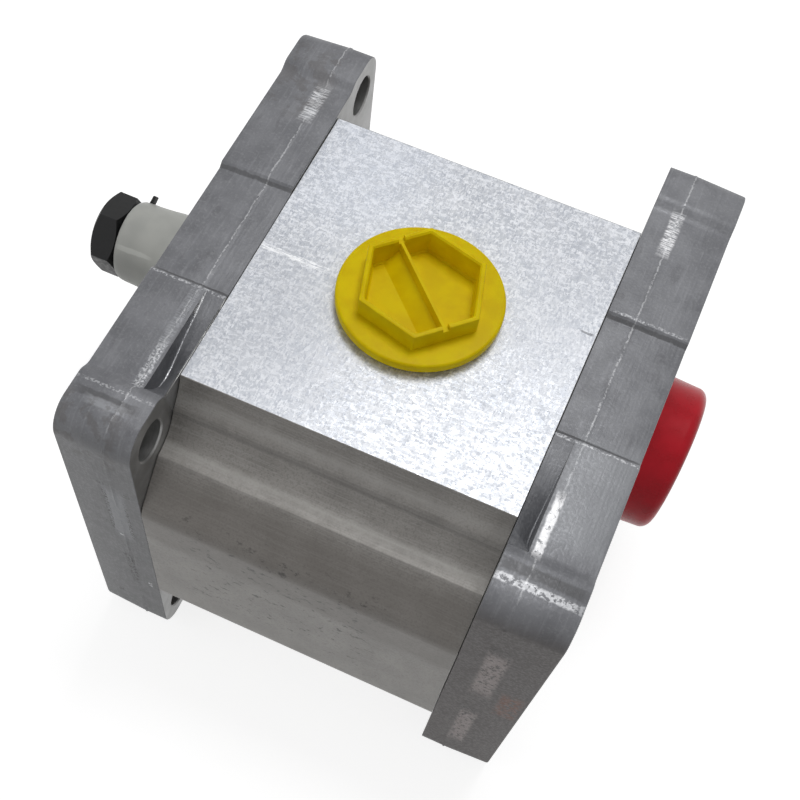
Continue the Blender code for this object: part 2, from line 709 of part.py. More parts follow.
def key_cutter(name, radius, width, finish=None):
    """A Woodruff key, or the round slot it sits in, about the shaft axis at the key's angle."""
    bm = bmesh.new()
    bmesh.ops.create_cone(bm, cap_ends=True, segments=KEY_STEPS, radius1=radius, radius2=radius,
                          depth=width)
    if finish is not None:
        flat = bm.verts[:] + bm.edges[:] + bm.faces[:]
        cut = bmesh.ops.bisect_plane(bm, geom=flat, plane_co=(0, 0, 0), plane_no=(0, 1, 0),
                                     clear_outer=True)
        rim = [item for item in cut["geom_cut"] if isinstance(item, bmesh.types.BMEdge)]
        bmesh.ops.contextual_create(bm, geom=rim)
        bmesh.ops.rotate(bm, matrix=Matrix.Rotation(KEY_TILT, 3, "Z"), verts=bm.verts)
    lay = Matrix(((0, 1, 0), (0, 0, 1), (1, 0, 0))).to_4x4()
    lift = Matrix.Translation((KEY_CENTRE, 0, 0))
    bmesh.ops.transform(bm, matrix=lift @ lay, verts=bm.verts)
    bmesh.ops.rotate(bm, matrix=Matrix.Rotation(KEY_ANGLE, 3, "Z"), verts=bm.verts)
    return add_object(name, finish_mesh(bm, name), (-KEY_STATION, AXIS_Y, 0), finish)


def make_drive_shaft():
    small = TAPER_RADIUS - TAPER_LENGTH / (2 * TAPER_RATIO)
    stub_end = REAR_START + STUB_LENGTH + TONGUE_LENGTH
    shaft = turned("drive_shaft", [
        (0, stub_end),
        (STUB_RADIUS - SHAFT_CHAMFER, stub_end),
        (STUB_RADIUS, stub_end - SHAFT_CHAMFER),
        (STUB_RADIUS, BODY_END),
        (JOURNAL_RADIUS, BODY_END),
        (JOURNAL_RADIUS, -TAPER_START),
        (TAPER_RADIUS, -TAPER_START),
        (small, -TAPER_END),
        (THREAD_RADIUS, -TAPER_END),
        (THREAD_RADIUS, -SHAFT_FRONT + SHAFT_CHAMFER),
        (THREAD_RADIUS - SHAFT_CHAMFER, -SHAFT_FRONT),
        (0, -SHAFT_FRONT),
    ], (0, AXIS_Y, 0), STEEL)
    gear = prism("drive_teeth", gear_outline(math.pi), [(GEAR_START, 1), (GEAR_END, 1)],
                 (0, AXIS_Y, 0))
    boolean(shaft, gear, "UNION")
    for side in (1, -1):
        low = TONGUE_WIDTH / 2
        high = STUB_RADIUS + OVERRUN
        corners = sorted((side * low, side * high))
        flat = block(f"tongue_flat_{side}", (-high, corners[0], stub_end - TONGUE_LENGTH),
                     (high, corners[1], stub_end + OVERRUN), (0, AXIS_Y, 0))
        boolean(shaft, flat)
    boolean(shaft, key_cutter("key_slot", KEY_RADIUS + SEAT_GAP, KEY_WIDTH + 2 * SEAT_GAP))
    return shaft


def make_driven_gear():
    low = BODY_START + DRIVEN_INSET
    high = BODY_END - DRIVEN_INSET
    shaft = turned("driven_gear", [
        (0, high),
        (JOURNAL_RADIUS - SHAFT_CHAMFER, high),
        (JOURNAL_RADIUS, high - SHAFT_CHAMFER),
        (JOURNAL_RADIUS, low + SHAFT_CHAMFER),
        (JOURNAL_RADIUS - SHAFT_CHAMFER, low),
        (0, low),
    ], (0, -AXIS_Y, 0), STEEL)
    gear = prism("driven_teeth", gear_outline(math.pi / TEETH), [(GEAR_START, 1), (GEAR_END, 1)],
                 (0, -AXIS_Y, 0))
    boolean(shaft, gear, "UNION")
    return shaft


def make_shaft_seal():
    start = -PILOT_HEIGHT + RING_SETBACK + RING_WIDTH + 2 * SEAT_GAP
    outer = SEAL_POCKET_RADIUS - SEAT_GAP
    inner = JOURNAL_RADIUS + RUN_GAP
    end = start + SEAL_LENGTH
    turned("shaft_seal", [
        (outer, end),
        (outer, start),
        (inner + SEAL_WALL, start),
        (inner, start + LIP_AT),
        (inner + SEAL_WALL, start + LIP_END),
        (inner + LIP_BACK, start + SEAL_WALL),
        (outer - SEAL_WALL, start + SEAL_WALL),
        (outer - SEAL_WALL, end),
    ], (0, AXIS_Y, 0), RUBBER, ring=True)
    reach = inner + LIP_BACK + SPRING_WIRE + SEAT_GAP
    turns = [2 * math.pi * k / SPRING_STEPS for k in range(SPRING_STEPS)]
    path = [(reach * math.cos(angle), reach * math.sin(angle)) for angle in turns]
    tube("seal_spring", path, SPRING_WIRE, (start + SPRING_AT, AXIS_Y, 0), STEEL)


def make_retaining_ring():
    outer = SEAL_POCKET_RADIUS + RING_BITE
    inner = outer - RING_RADIAL
    half = RING_OPENING / 2
    sweep = 2 * math.pi - RING_OPENING
    angles = [half + sweep * k / RING_STEPS for k in range(RING_STEPS + 1)]
    outside = [(outer * math.cos(angle), outer * math.sin(angle)) for angle in angles]
    inside = [(inner * math.cos(angle), inner * math.sin(angle)) for angle in reversed(angles)]
    start = -PILOT_HEIGHT + RING_SETBACK + SEAT_GAP
    prism("retaining_ring", outside + inside, [(0, 1), (RING_WIDTH, 1)], (start, AXIS_Y, 0), STEEL)


def hexagon(across_corners_radius, turn=0.0):
    angles = [turn + math.pi * k / 3 for k in range(6)]
    return [(across_corners_radius * math.cos(angle), across_corners_radius * math.sin(angle))
            for angle in angles]


def make_nut_and_washer():
    bore = THREAD_RADIUS + SEAT_GAP
    outer = bore + WASHER_RADIAL
    turned("shaft_washer", [
        (outer, WASHER_THICKNESS),
        (outer, 0),
        (bore, 0),
        (bore, WASHER_THICKNESS),
    ], (-WASHER_SEAT - WASHER_THICKNESS, AXIS_Y, 0), STEEL, ring=True)
    corner = NUT_ACROSS_FLATS / math.sqrt(3)
    nut = prism("shaft_nut", hexagon(corner, NUT_TURN), [(0, 1), (NUT_HEIGHT, 1)],
                (-NUT_END, AXIS_Y, 0), BLACK_STEEL)
    flat = NUT_ACROSS_FLATS / 2
    face_radius = flat - NUT_FACE_INSET
    envelope = turned("nut_envelope", [
        (0, NUT_HEIGHT + OVERRUN),
        (corner + NUT_CHAMFER, NUT_HEIGHT + OVERRUN),
        (corner + NUT_CHAMFER, NUT_CHAMFER_LENGTH),
        (face_radius, 0),
        (face_radius, -OVERRUN),
        (0, -OVERRUN),
    ], (-NUT_END, AXIS_Y, 0))
    boolean(nut, envelope, "INTERSECT")
    boolean(nut, cylinder("nut_bore", bore, -OVERRUN, NUT_HEIGHT + OVERRUN, (-NUT_END, AXIS_Y, 0)))


def make_sleeve():
    mouth = NUT_SEAT - SEAT_GAP
    foot = PILOT_HEIGHT + SEAT_GAP + RUN_GAP
    outer_foot = SLEEVE_RADIUS + SLEEVE_FLARE
    inner_foot = JOURNAL_RADIUS + SEAT_GAP
    inner_mouth = SLEEVE_RADIUS - SLEEVE_WALL
    sleeve = turned("shaft_sleeve", [
        (outer_foot, -foot),
        (SLEEVE_RADIUS, -mouth + SLEEVE_EDGE_LENGTH),
        (SLEEVE_RADIUS - SLEEVE_EDGE, -mouth),
        (inner_mouth, -mouth),
        (inner_mouth, -TAPER_END + WASHER_THICKNESS),
        (inner_foot, -TAPER_START - SLEEVE_BORE_RUN),
        (inner_foot, -foot),
    ], (0, AXIS_Y, 0), WHITE_PLASTIC, ring=True)
    slit = key_cutter("sleeve_slit", KEY_RADIUS + SEAT_GAP, KEY_WIDTH + 2 * SEAT_GAP)
    boolean(sleeve, slit)


def make_inlet_plug():
    """A plastic plug: a flange and a hollow hexagon with a web and its ramp across it."""
    place = (PORT_X, PORT_Y, PORT_FACE_HEIGHT + SEAT_GAP)
    stem = INLET_RADIUS - SEAT_GAP
    plug = turned("inlet_plug", [
        (0, PLUG_FLANGE),
        (PLUG_FLANGE_RADIUS - PLUG_EDGE, PLUG_FLANGE),
        (PLUG_FLANGE_RADIUS, PLUG_FLANGE - PLUG_EDGE),
        (PLUG_FLANGE_RADIUS, 0),
        (stem, 0),
        (stem, -PLUG_STEM + PLUG_END_CHAMFER),
        (stem - PLUG_END_CHAMFER, -PLUG_STEM),
        (0, -PLUG_STEM),
    ], place, YELLOW_PLASTIC, along_shaft=False)
    outer = prism("plug_hexagon", hexagon(PLUG_HEX_CORNER, PLUG_HEX_TURN),
                  [(PLUG_FLANGE / 2, 1), (PLUG_HEX_TOP, 1)], place, along_shaft=False)
    boolean(plug, outer, "UNION")
    inner_corner = PLUG_HEX_CORNER - PLUG_HEX_WALL / math.cos(math.radians(30))
    hollow = prism("plug_hollow", hexagon(inner_corner, PLUG_HEX_TURN),
                   [(PLUG_FLOOR, PLUG_FLOOR_SCALE), (PLUG_HEX_TOP + OVERRUN, 1)], place,
                   along_shaft=False)
    boolean(plug, hollow)
    across = PLUG_HEX_TURN - math.radians(30)
    half = PLUG_WEB_WIDTH / 2
    root = PLUG_FLOOR - PLUG_WEB_ROOT
    top = PLUG_HEX_TOP - PLUG_WEB_SINK
    reach = inner_corner * math.cos(math.radians(30)) + PLUG_HEX_WALL / 2
    web = prism("plug_web", [
        (half, root),
        (half, top),
        (-half, top),
        (-half - PLUG_RAMP_WIDTH, PLUG_FLOOR),
        (-half - PLUG_RAMP_WIDTH, root),
    ], [(-reach, 1), (reach, 1)], place)
    beside = Vector((-math.sin(across), math.cos(across), 0))
    ahead = Vector((math.cos(across), math.sin(across), 0))
    web.rotation_euler = Matrix((beside, (0, 0, 1), ahead)).transposed().to_euler()
    boolean(plug, web, "UNION")
    notch = block("plug_notch", (-PLUG_HEX_CORNER, -PLUG_NOTCH_WIDTH / 2, top),
                  (PLUG_HEX_CORNER, PLUG_NOTCH_WIDTH / 2, PLUG_HEX_TOP + OVERRUN), place,
                  along_shaft=False, turn=across)
    boolean(plug, notch)


def make_outlet_plug():
    place = (PORT_X, PORT_Y, -PORT_FACE_HEIGHT - SEAT_GAP)
    stem = OUTLET_RADIUS - SEAT_GAP
    plug = turned("outlet_plug", [
        (0, PLUG_STEM),
        (stem - PLUG_END_CHAMFER, PLUG_STEM),
        (stem, PLUG_STEM - PLUG_END_CHAMFER),
        (stem, 0),
        (OUTLET_FLANGE_RADIUS, 0),
        (OUTLET_FLANGE_RADIUS, -OUTLET_FLANGE + OUTLET_EDGE),
        (OUTLET_FLANGE_RADIUS - OUTLET_EDGE, -OUTLET_FLANGE),
        (0, -OUTLET_FLANGE),
    ], place, YELLOW_PLASTIC, along_shaft=False)
    half = OUTLET_RADIUS - OUTLET_SLOT_INSET
    slot = block("outlet_slot", (-half, -OUTLET_SLOT_WIDTH / 2, -OUTLET_FLANGE - OVERRUN),
                 (half, OUTLET_SLOT_WIDTH / 2, -OUTLET_FLANGE + OUTLET_SLOT_DEPTH), place,
                 along_shaft=False)
    boolean(plug, slot)


def make_cap():
    """A push-in cap: its lip fills the rear recess and its dome stands behind the cover."""
    lip = PILOT_RADIUS - SEAT_GAP
    floor = REAR_END - RECESS_DEPTH + SEAT_GAP
    base = CAP_RADIUS + CAP_FLARE
    round_step = CAP_ROUND * 0.3
    turned("rear_cap", [
        (0, CAP_END),
        (CAP_RADIUS - CAP_ROUND, CAP_END),
        (CAP_RADIUS - round_step, CAP_END - round_step),
        (CAP_RADIUS, CAP_END - CAP_ROUND),
        (base, floor + CAP_LIP),
        (lip, floor + CAP_LIP - CAP_LIP_STEP),
        (lip, floor + CAP_LIP_CHAMFER),
        (lip - CAP_LIP_CHAMFER, floor),
        (base - CAP_WALL, floor),
        (CAP_RADIUS - CAP_WALL, CAP_END - CAP_ROUND),
        (CAP_RADIUS - CAP_WALL - CAP_ROUND / 2, CAP_END - CAP_WALL),
        (0, CAP_END - CAP_WALL),
    ], (0, AXIS_Y, 0), RED_PLASTIC)


def make_coupling():
    """A disc with crossed slots that carries the shaft's tongue to a second pump."""
    start = REAR_START + STUB_LENGTH + SEAT_GAP
    coupling = cylinder("rear_coupling", COUPLING_RADIUS, 0, COUPLING_LENGTH, (start, AXIS_Y, 0),
                        STEEL, steps=STEPS)
    width = TONGUE_WIDTH / 2 + RUN_GAP
    reach = COUPLING_RADIUS + OVERRUN
    depth = TONGUE_LENGTH + SEAT_GAP
    inner_slot = block("coupling_slot_in", (-reach, -width, -OVERRUN), (reach, width, depth),
                       (start, AXIS_Y, 0))
    boolean(coupling, inner_slot)
    outer_slot = block("coupling_slot_out", (-width, -reach, depth + COUPLING_BRIDGE),
                       (width, reach, COUPLING_LENGTH + OVERRUN), (start, AXIS_Y, 0))
    boolean(coupling, outer_slot)


def make_screws():
    seat = REAR_END - SCREW_HEAD_SINK - SCREW_HEAD_HEIGHT
    tip = FRONT_THICKNESS - SCREW_ENGAGEMENT
    for where, y, z in corner_places(*SCREW_AT):
        screw = turned(f"screw_{where}", [
            (0, seat + SCREW_HEAD_HEIGHT),
            (SCREW_HEAD_RADIUS - SCREW_HEAD_EDGE, seat + SCREW_HEAD_HEIGHT),
            (SCREW_HEAD_RADIUS, seat + SCREW_HEAD_HEIGHT - SCREW_HEAD_EDGE),
            (SCREW_HEAD_RADIUS, seat),
            (SCREW_RADIUS, seat),
            (SCREW_RADIUS, tip + SCREW_TIP_CHAMFER),
            (SCREW_RADIUS - SCREW_TIP_CHAMFER, tip),
            (0, tip),
        ], (0, y, z), STEEL, steps=FASTENER_STEPS)
        corner = SOCKET_ACROSS_FLATS / math.sqrt(3)
        socket = prism(f"socket_{where}", hexagon(corner),
                       [(seat + SCREW_HEAD_HEIGHT - SOCKET_DEPTH, 1),
                        (seat + SCREW_HEAD_HEIGHT + OVERRUN, 1)], (0, y, z))
        boolean(screw, socket)
        turned(f"screw_washer_{where}", [
            (SCREW_WASHER_RADIUS, SCREW_WASHER_THICKNESS),
            (SCREW_WASHER_RADIUS, 0),
            (SCREW_RADIUS + SEAT_GAP, 0),
            (SCREW_RADIUS + SEAT_GAP, SCREW_WASHER_THICKNESS),
        ], (seat - SEAT_GAP - SCREW_WASHER_THICKNESS, y, z), STEEL, steps=FASTENER_STEPS, ring=True)


def make_dowels():
    for face_x, where_x in ((FRONT_THICKNESS + SEAT_GAP / 2, "front"),
                            (BODY_END + SEAT_GAP / 2, "rear")):
        for side, where in ((-1, "near"), (1, "far")):
            half = DOWEL_LENGTH / 2 - SEAT_GAP / 2
            cylinder(f"dowel_{where_x}_{where}", DOWEL_RADIUS, -half, half,
                     (face_x, side * DOWEL_AT, 0), STEEL, steps=SMALL_STEPS)


make_front_cover()
make_body()
make_rear_cover()
make_bearing_block("front", BODY_START, BODY_START, 1)
make_bearing_block("rear", BODY_END - BLOCK_LENGTH, BODY_END, -1)
make_seals()
make_drive_shaft()
make_driven_gear()
make_shaft_seal()
make_retaining_ring()
make_nut_and_washer()
make_sleeve()
key_cutter("woodruff_key", KEY_RADIUS, KEY_WIDTH, STEEL)
make_inlet_plug()
make_outlet_plug()
make_cap()
make_coupling()
make_screws()
make_dowels()
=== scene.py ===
"""Looks of a gear pump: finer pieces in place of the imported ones, in a soft studio.

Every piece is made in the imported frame: metres, X along the shaft, Y across the gears, Z up.
"""

import math

import bmesh
import bpy
from mathutils import Matrix, Vector, noise


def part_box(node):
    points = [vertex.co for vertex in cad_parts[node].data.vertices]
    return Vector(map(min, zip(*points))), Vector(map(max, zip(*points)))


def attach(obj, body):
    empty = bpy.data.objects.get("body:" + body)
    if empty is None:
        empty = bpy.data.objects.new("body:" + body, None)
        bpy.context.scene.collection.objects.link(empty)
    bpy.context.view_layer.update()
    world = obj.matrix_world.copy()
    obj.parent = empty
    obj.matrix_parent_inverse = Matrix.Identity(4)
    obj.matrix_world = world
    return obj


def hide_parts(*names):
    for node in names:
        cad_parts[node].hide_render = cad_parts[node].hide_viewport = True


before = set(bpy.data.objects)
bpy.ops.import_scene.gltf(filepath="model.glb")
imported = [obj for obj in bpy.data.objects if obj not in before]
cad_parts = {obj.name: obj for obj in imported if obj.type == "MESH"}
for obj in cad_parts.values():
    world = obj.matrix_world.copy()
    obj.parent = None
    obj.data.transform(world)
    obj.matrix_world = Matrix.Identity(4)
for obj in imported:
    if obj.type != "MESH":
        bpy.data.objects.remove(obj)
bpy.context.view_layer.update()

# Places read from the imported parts
BODY_LOW, BODY_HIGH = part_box("pump_body")
FRONT_LOW, FRONT_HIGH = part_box("front_cover")
REAR_LOW, REAR_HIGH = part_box("rear_cover")
SHAFT_LOW, SHAFT_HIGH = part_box("drive_shaft")
CAP_LOW, CAP_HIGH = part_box("rear_cap")
NUT_LOW, NUT_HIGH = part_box("shaft_nut")
WASHER_LOW, WASHER_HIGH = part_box("shaft_washer")
SLEEVE_LOW, SLEEVE_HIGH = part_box("shaft_sleeve")
SEAL_LOW, SEAL_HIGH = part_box("shaft_seal")
RING_LOW, RING_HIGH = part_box("retaining_ring")
MIDDLE_Z = (SHAFT_LOW.z + SHAFT_HIGH.z) / 2
AXIS_Y = (SHAFT_LOW.y + SHAFT_HIGH.y) / 2
PORT_TOP = BODY_HIGH.z
PORT_MIDDLE = Vector(((BODY_LOW.x + BODY_HIGH.x) / 2, -0.0012, PORT_TOP))
SEAT_GAP = 0.0003
JOINT_FILL = 0.0001

# Covers; the groove beside the body has stations (distance from the middle, depth)
EAR_RADIUS = 0.0077
EAR_FOOT = 0.0042
NECK_WIDTH = 0.0022
NECK_RADIUS = 0.003
SIDE_HEIGHT = 0.0421
WAIST_HEIGHT = 0.0411
WAIST_NEAR = 0.0158
WAIST_FAR = 0.0122
WAIST_STEP = 0.0012
PARTING_DEPTH = 0.0055
EAR_Y = FRONT_HIGH.y
EAR_Z = FRONT_HIGH.z - MIDDLE_Z
BOLT_Y = EAR_Y - EAR_RADIUS
BOLT_Z = EAR_Z - EAR_RADIUS
BOLT_HOLE_RADIUS = 0.00425
BOLT_HOLE_CHAMFER = 0.0003
PILOT_HEIGHT = 0.0055
PILOT_RADIUS = 0.01825
MOUNT_X = FRONT_LOW.x + PILOT_HEIGHT
SEAL_POCKET_RADIUS = 0.0150
SEAL_POCKET_DEPTH = 0.0102
RING_GROOVE = (0.0012, 0.0029, 0.0159)
SHAFT_WAY_RADIUS = 0.0093
SCREW_Y = 0.037
SCREW_Z = 0.021
SCREW_HOLE_RADIUS = 0.0043
THREAD_DEPTH = 0.0118
DOWEL_Y = 0.0466
DOWEL_RADIUS = 0.0028
DOWEL_DEPTH = 0.0063
SCOOP_WIDTH = 0.00395
SCOOP_LEAN = 0.17
CREASE = 0.0001
SCOOP_STATIONS = (
    (0.0164, 0.0001), (0.0180, 0.0006), (0.0200, 0.0011), (0.0225, 0.0017), (0.0250, 0.0022),
    (0.0277, 0.0028), (0.0308, 0.0036), (0.0335, 0.0043), (0.0360, 0.0046), (0.0382, 0.0042),
    (0.0398, 0.0030), (0.0412, 0.0012), (0.0420, 0.0001),
)
RECESS_DEPTH = 0.0055
COUPLING_WAY_RADIUS = 0.0128
STUB_WAY = (0.0083, 0.0045)
HEAD_WAY = (0.0078, 0.0058)

# Body
PORT_FACE_NEAR = 0.0359
PORT_FACE_FAR = 0.0350
FLANK_END = 0.0200
FLANK_END_FAR = 0.0170
FLANK_RIDGE = (0.0469, 0.0286)
FLANK_RIDGE_FAR = (0.0452, 0.0286)
FLANK_CREASE = (0.0398, 0.0345)
FLANK_LOWER_HOLLOW = 0.0014
FLANK_UPPER_HOLLOW = 0.0006
CHAMBER_RADIUS = 0.0185
INLET_RADIUS = 0.0132
INLET_DEPTH = 0.017
OUTLET_RADIUS = 0.0104
OUTLET_DEPTH = 0.016
PASSAGE_RADIUS = 0.0085
BODY_SEAL_REACH = 0.0206
BODY_SEAL_WIRE = 0.0012
SEAL_SINK = 0.0009

# Threads, plugs, nut, sleeve and key
THREAD_PITCH = 0.0015
PORT_THREAD = 0.0009
STEM_THREAD = 0.0008
STEM_SLACK = 0.0012
STEM_TIP = 0.0012
PLUG_STEM = 0.012
PLUG_FLANGE_RADIUS = 0.0164
PLUG_FLANGE = 0.0027
PLUG_UNDERCUT = 0.0006
PLUG_HEX_CORNER = 0.0131
PLUG_HEX_TURN = math.radians(-14.7)
PLUG_HEX_TOP = 0.0066
PLUG_HEX_WALL = 0.0011
PLUG_FLOOR = 0.0015
PLUG_WEB_SINK = 0.0009
OUTLET_FLANGE_RADIUS = 0.0138
OUTLET_FLANGE = 0.0015
OUTLET_SLOT = 0.003
THREAD_RADIUS = 0.00605
NUT_CORNER = 0.0098
NUT_TURN = math.radians(48)
NUT_CHAMFER_SLOPE = 0.62
SLEEVE_WALL = 0.001
SLEEVE_MOUTH = 0.0084
SLEEVE_PROFILE = ((0, 0.0090), (0.0003, 0.00932), (0.0009, 0.00958), (0.002, 0.00970), (0.005, 0.00978),
                  (0.008, 0.01002), (0.0105, 0.01030), (0.0125, 0.01040))
KEY_PLACE = 0.0036
KEY_ANGLE = math.radians(36.3)
KEY_RADIUS = 0.0055
KEY_TOP = 0.0079
KEY_WIDTH = 0.003
SPUR_PLACE = 0.0016
SPUR_TOP = 0.0116

# Screws, shaft seal and its ring
SCREW_EDGE = 0.0006
SCREW_RADIUS = 0.004
SCREW_HEAD = 0.008
SOCKET_CORNER = 0.00346
SOCKET_DEPTH = 0.004
SEAL_BORE = 0.0093
SEAL_WALL = 0.0012
SEAL_RIM = 0.0016
RING_RADIAL = 0.0021
RING_OPENING = math.radians(40)
EYE_RADIUS = 0.0006

# A lying piece has its local Z along X and its local X along Y
LYING = Matrix(((0, 0, 1, 0), (1, 0, 0, 0), (0, 1, 0, 0), (0, 0, 0, 1)))
UPRIGHT = Matrix.Identity(4)
OVERRUN = 0.002


def srgb(red, green, blue):
    """A colour written in 0-255 steps, made linear."""
    steps = [value / 255 for value in (red, green, blue)]
    return tuple(v / 12.92 if v <= 0.04045 else ((v + 0.055) / 1.055) ** 2.4 for v in steps)


# Shapes

def add_piece(name, vertices, faces, matrix=UPRIGHT, finish=None):
    """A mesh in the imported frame, with its object at the origin and its normals outwards."""
    mesh = bpy.data.meshes.new(name)
    mesh.from_pydata([matrix @ Vector(point) for point in vertices], [], faces)
    bm = bmesh.new()
    bm.from_mesh(mesh)
    bmesh.ops.remove_doubles(bm, verts=bm.verts, dist=1e-7)
    bmesh.ops.recalc_face_normals(bm, faces=bm.faces)
    bm.to_mesh(mesh)
    bm.free()
    made = bpy.data.objects.new(name, mesh)
    bpy.context.scene.collection.objects.link(made)
    if finish is not None:
        mesh.materials.append(finish)
    return made


def loft(name, rings, matrix=UPRIGHT, finish=None, capped=True, looped=False):
    """Skins a stack of rings of the same length, with a cap at each end."""
    count = len(rings[0])
    vertices = [point for ring in rings for point in ring]
    faces = []
    levels = len(rings) if looped else len(rings) - 1
    for level in range(levels):
        low = level * count
        high = (level + 1) % len(rings) * count
        for i in range(count):
            j = (i + 1) % count
            faces.append((low + i, low + j, high + j, high + i))
    if capped:
        faces.append(tuple(range(count)))
        faces.append(tuple(range(len(vertices) - count, len(vertices))))
    return add_piece(name, vertices, faces, matrix, finish)


def turned(name, profile, matrix=UPRIGHT, finish=None, steps=96, ring=False):
    """Turns a profile of (radius, height) about local Z."""
    angles = [2 * math.pi * k / steps for k in range(steps)]
    rings = [[(radius * math.cos(a), radius * math.sin(a), height) for a in angles]
             for radius, height in profile]
    return loft(name, rings, matrix, finish, capped=False, looped=ring)


def block(name, low, high, matrix=UPRIGHT, finish=None):
    corners = [(low[0], low[1]), (high[0], low[1]), (high[0], high[1]), (low[0], high[1])]
    rings = [[(a, b, height) for a, b in corners] for height in (low[2], high[2])]
    return loft(name, rings, matrix, finish)


def combine(piece, tool, operation="DIFFERENCE"):
    """Cuts a tool out of a piece, or adds it, and keeps the tool's finish on the new faces."""
    step = piece.modifiers.new(tool.name, "BOOLEAN")
    step.operation = operation
    step.solver = "EXACT"
    step.material_mode = "TRANSFER"
    step.object = tool
    graph = bpy.context.evaluated_depsgraph_get()
    made = bpy.data.meshes.new_from_object(piece.evaluated_get(graph))
    piece.modifiers.clear()
    piece.data = made
    bpy.data.objects.remove(tool)


def settle(piece, node, body, angle=30):
    """Shades a finished piece and puts it in its node's place and on its body."""
    piece.data.shade_smooth()
    piece.data.set_sharp_from_angle(angle=math.radians(angle))
    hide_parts(node)
    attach(piece, body)


def bore(piece, name, steps, matrix, finish, sides=96):
    """Cuts a stepped hole; each step has its radius and the two heights between which it runs."""
    profile = [(radius, height) for radius, *ends in steps for height in ends]
    profile = [(0, profile[0][1]), *profile, (0, profile[-1][1])]
    combine(piece, turned(name, profile, matrix, finish, sides))


def chamfered_bore(piece, name, radius, length, chamfer, matrix, finish, sides=96):
    """Cuts a hole with a chamfer at each end."""
    mouth = radius + chamfer + OVERRUN
    combine(piece, turned(name, [
        (0, length + OVERRUN), (mouth, length + OVERRUN), (radius, length - chamfer),
        (radius, chamfer), (mouth, -OVERRUN), (0, -OVERRUN),
    ], matrix, finish, sides))


def rounded_edge(radius, height, edge, steps):
    """A quarter circle in a profile, from the end face over to the side."""
    angles = [math.pi / 2 * k / steps for k in range(steps + 1)]
    return [(radius - edge * (1 - math.sin(a)), height - edge * (1 - math.cos(a))) for a in angles]


def threaded(first, second, low, high):
    """A zigzag between two radii from high to low, for a thread that doesn't need its lead."""
    profile = []
    height = high
    while height - THREAD_PITCH > low:
        profile += [(first, height), (second, height - THREAD_PITCH / 2)]
        height -= THREAD_PITCH
    return profile + [(first, height)]


def rounded(corners, per_turn=96):
    """A closed outline whose corners (a, b, radius) are arcs tangent to both sides."""
    outline = []
    for i, (a, b, radius) in enumerate(corners):
        here = Vector((a, b))
        back = Vector(corners[i - 1][:2]) - here
        ahead = Vector(corners[(i + 1) % len(corners)][:2]) - here
        half = back.angle(ahead) / 2
        reach = min(radius / math.tan(half), 0.49 * back.length, 0.49 * ahead.length)
        radius = reach * math.tan(half)
        if radius < 1e-5:
            outline.append((a, b))
            continue
        middle = here + (back.normalized() + ahead.normalized()).normalized() * radius / math.sin(half)
        first = here + back.normalized() * reach - middle
        last = here + ahead.normalized() * reach - middle
        sweep = first.angle_signed(last)
        steps = max(2, round(abs(sweep) / (2 * math.pi) * per_turn))
        for k in range(steps + 1):
            spoke = first.copy()
            spoke.rotate(Matrix.Rotation(-sweep * k / steps, 2))
            outline.append(tuple(middle + spoke))
    return outline


def mirrored(upper):
    """Closes the upper half of an outline with its mirror image below."""
    return upper + [(a, -b, radius) for a, b, radius in reversed(upper)]


def refined(outline, step):
    """Adds points to the long sides of an outline."""
    points = []
    for i, here in enumerate(outline):
        ahead = outline[(i + 1) % len(outline)]
        parts = max(1, round(math.dist(here, ahead) / step))
        for k in range(parts):
            share = k / parts
            points.append((here[0] + (ahead[0] - here[0]) * share, here[1] + (ahead[1] - here[1]) * share))
    return points


def inset(outline, distance):
    """Moves an outline inwards."""
    points = [Vector(point) for point in outline]
    turn = sum(points[i - 1].x * p.y - p.x * points[i - 1].y for i, p in enumerate(points))
    side = math.copysign(1, turn)
    moved = []
    for i, here in enumerate(points):
        before = (here - points[i - 1]).normalized()
        after = (points[(i + 1) % len(points)] - here).normalized()
        first = Vector((-before.y, before.x)) * side
        normal = (first + Vector((-after.y, after.x)) * side).normalized()
        moved.append(tuple(here + normal * distance / max(normal.dot(first), 0.5)))
    return moved


def hexagon(corner_radius, turn=0.0, rounding=0.0005):
    corners = [(corner_radius * math.cos(turn + math.pi * k / 3),
                corner_radius * math.sin(turn + math.pi * k / 3), rounding) for k in range(6)]
    return rounded(corners, per_turn=72)


def at_height(outline, height):
    return [(a, b, height) for a, b in outline]


def corner_places(half_y, half_z):
    for side_y, where_y in ((-1, "near"), (1, "far")):
        for side_z, where_z in ((-1, "lower"), (1, "upper")):
            yield f"{where_y}_{where_z}", side_y * half_y, side_z * half_z


def lying(x, y=0.0, z=0.0):
    return Matrix.Translation((x, y, MIDDLE_Z + z)) @ LYING


# Finishes

END_Y = BODY_LOW.y * 1000
MARK_GRAIN = 0.0015


def seen(x, y, z):
    """A place in millimetres behind the mounting face, across the gears and above the shafts."""
    return MOUNT_X + x / 1000, y / 1000, MIDDLE_Z + z / 1000


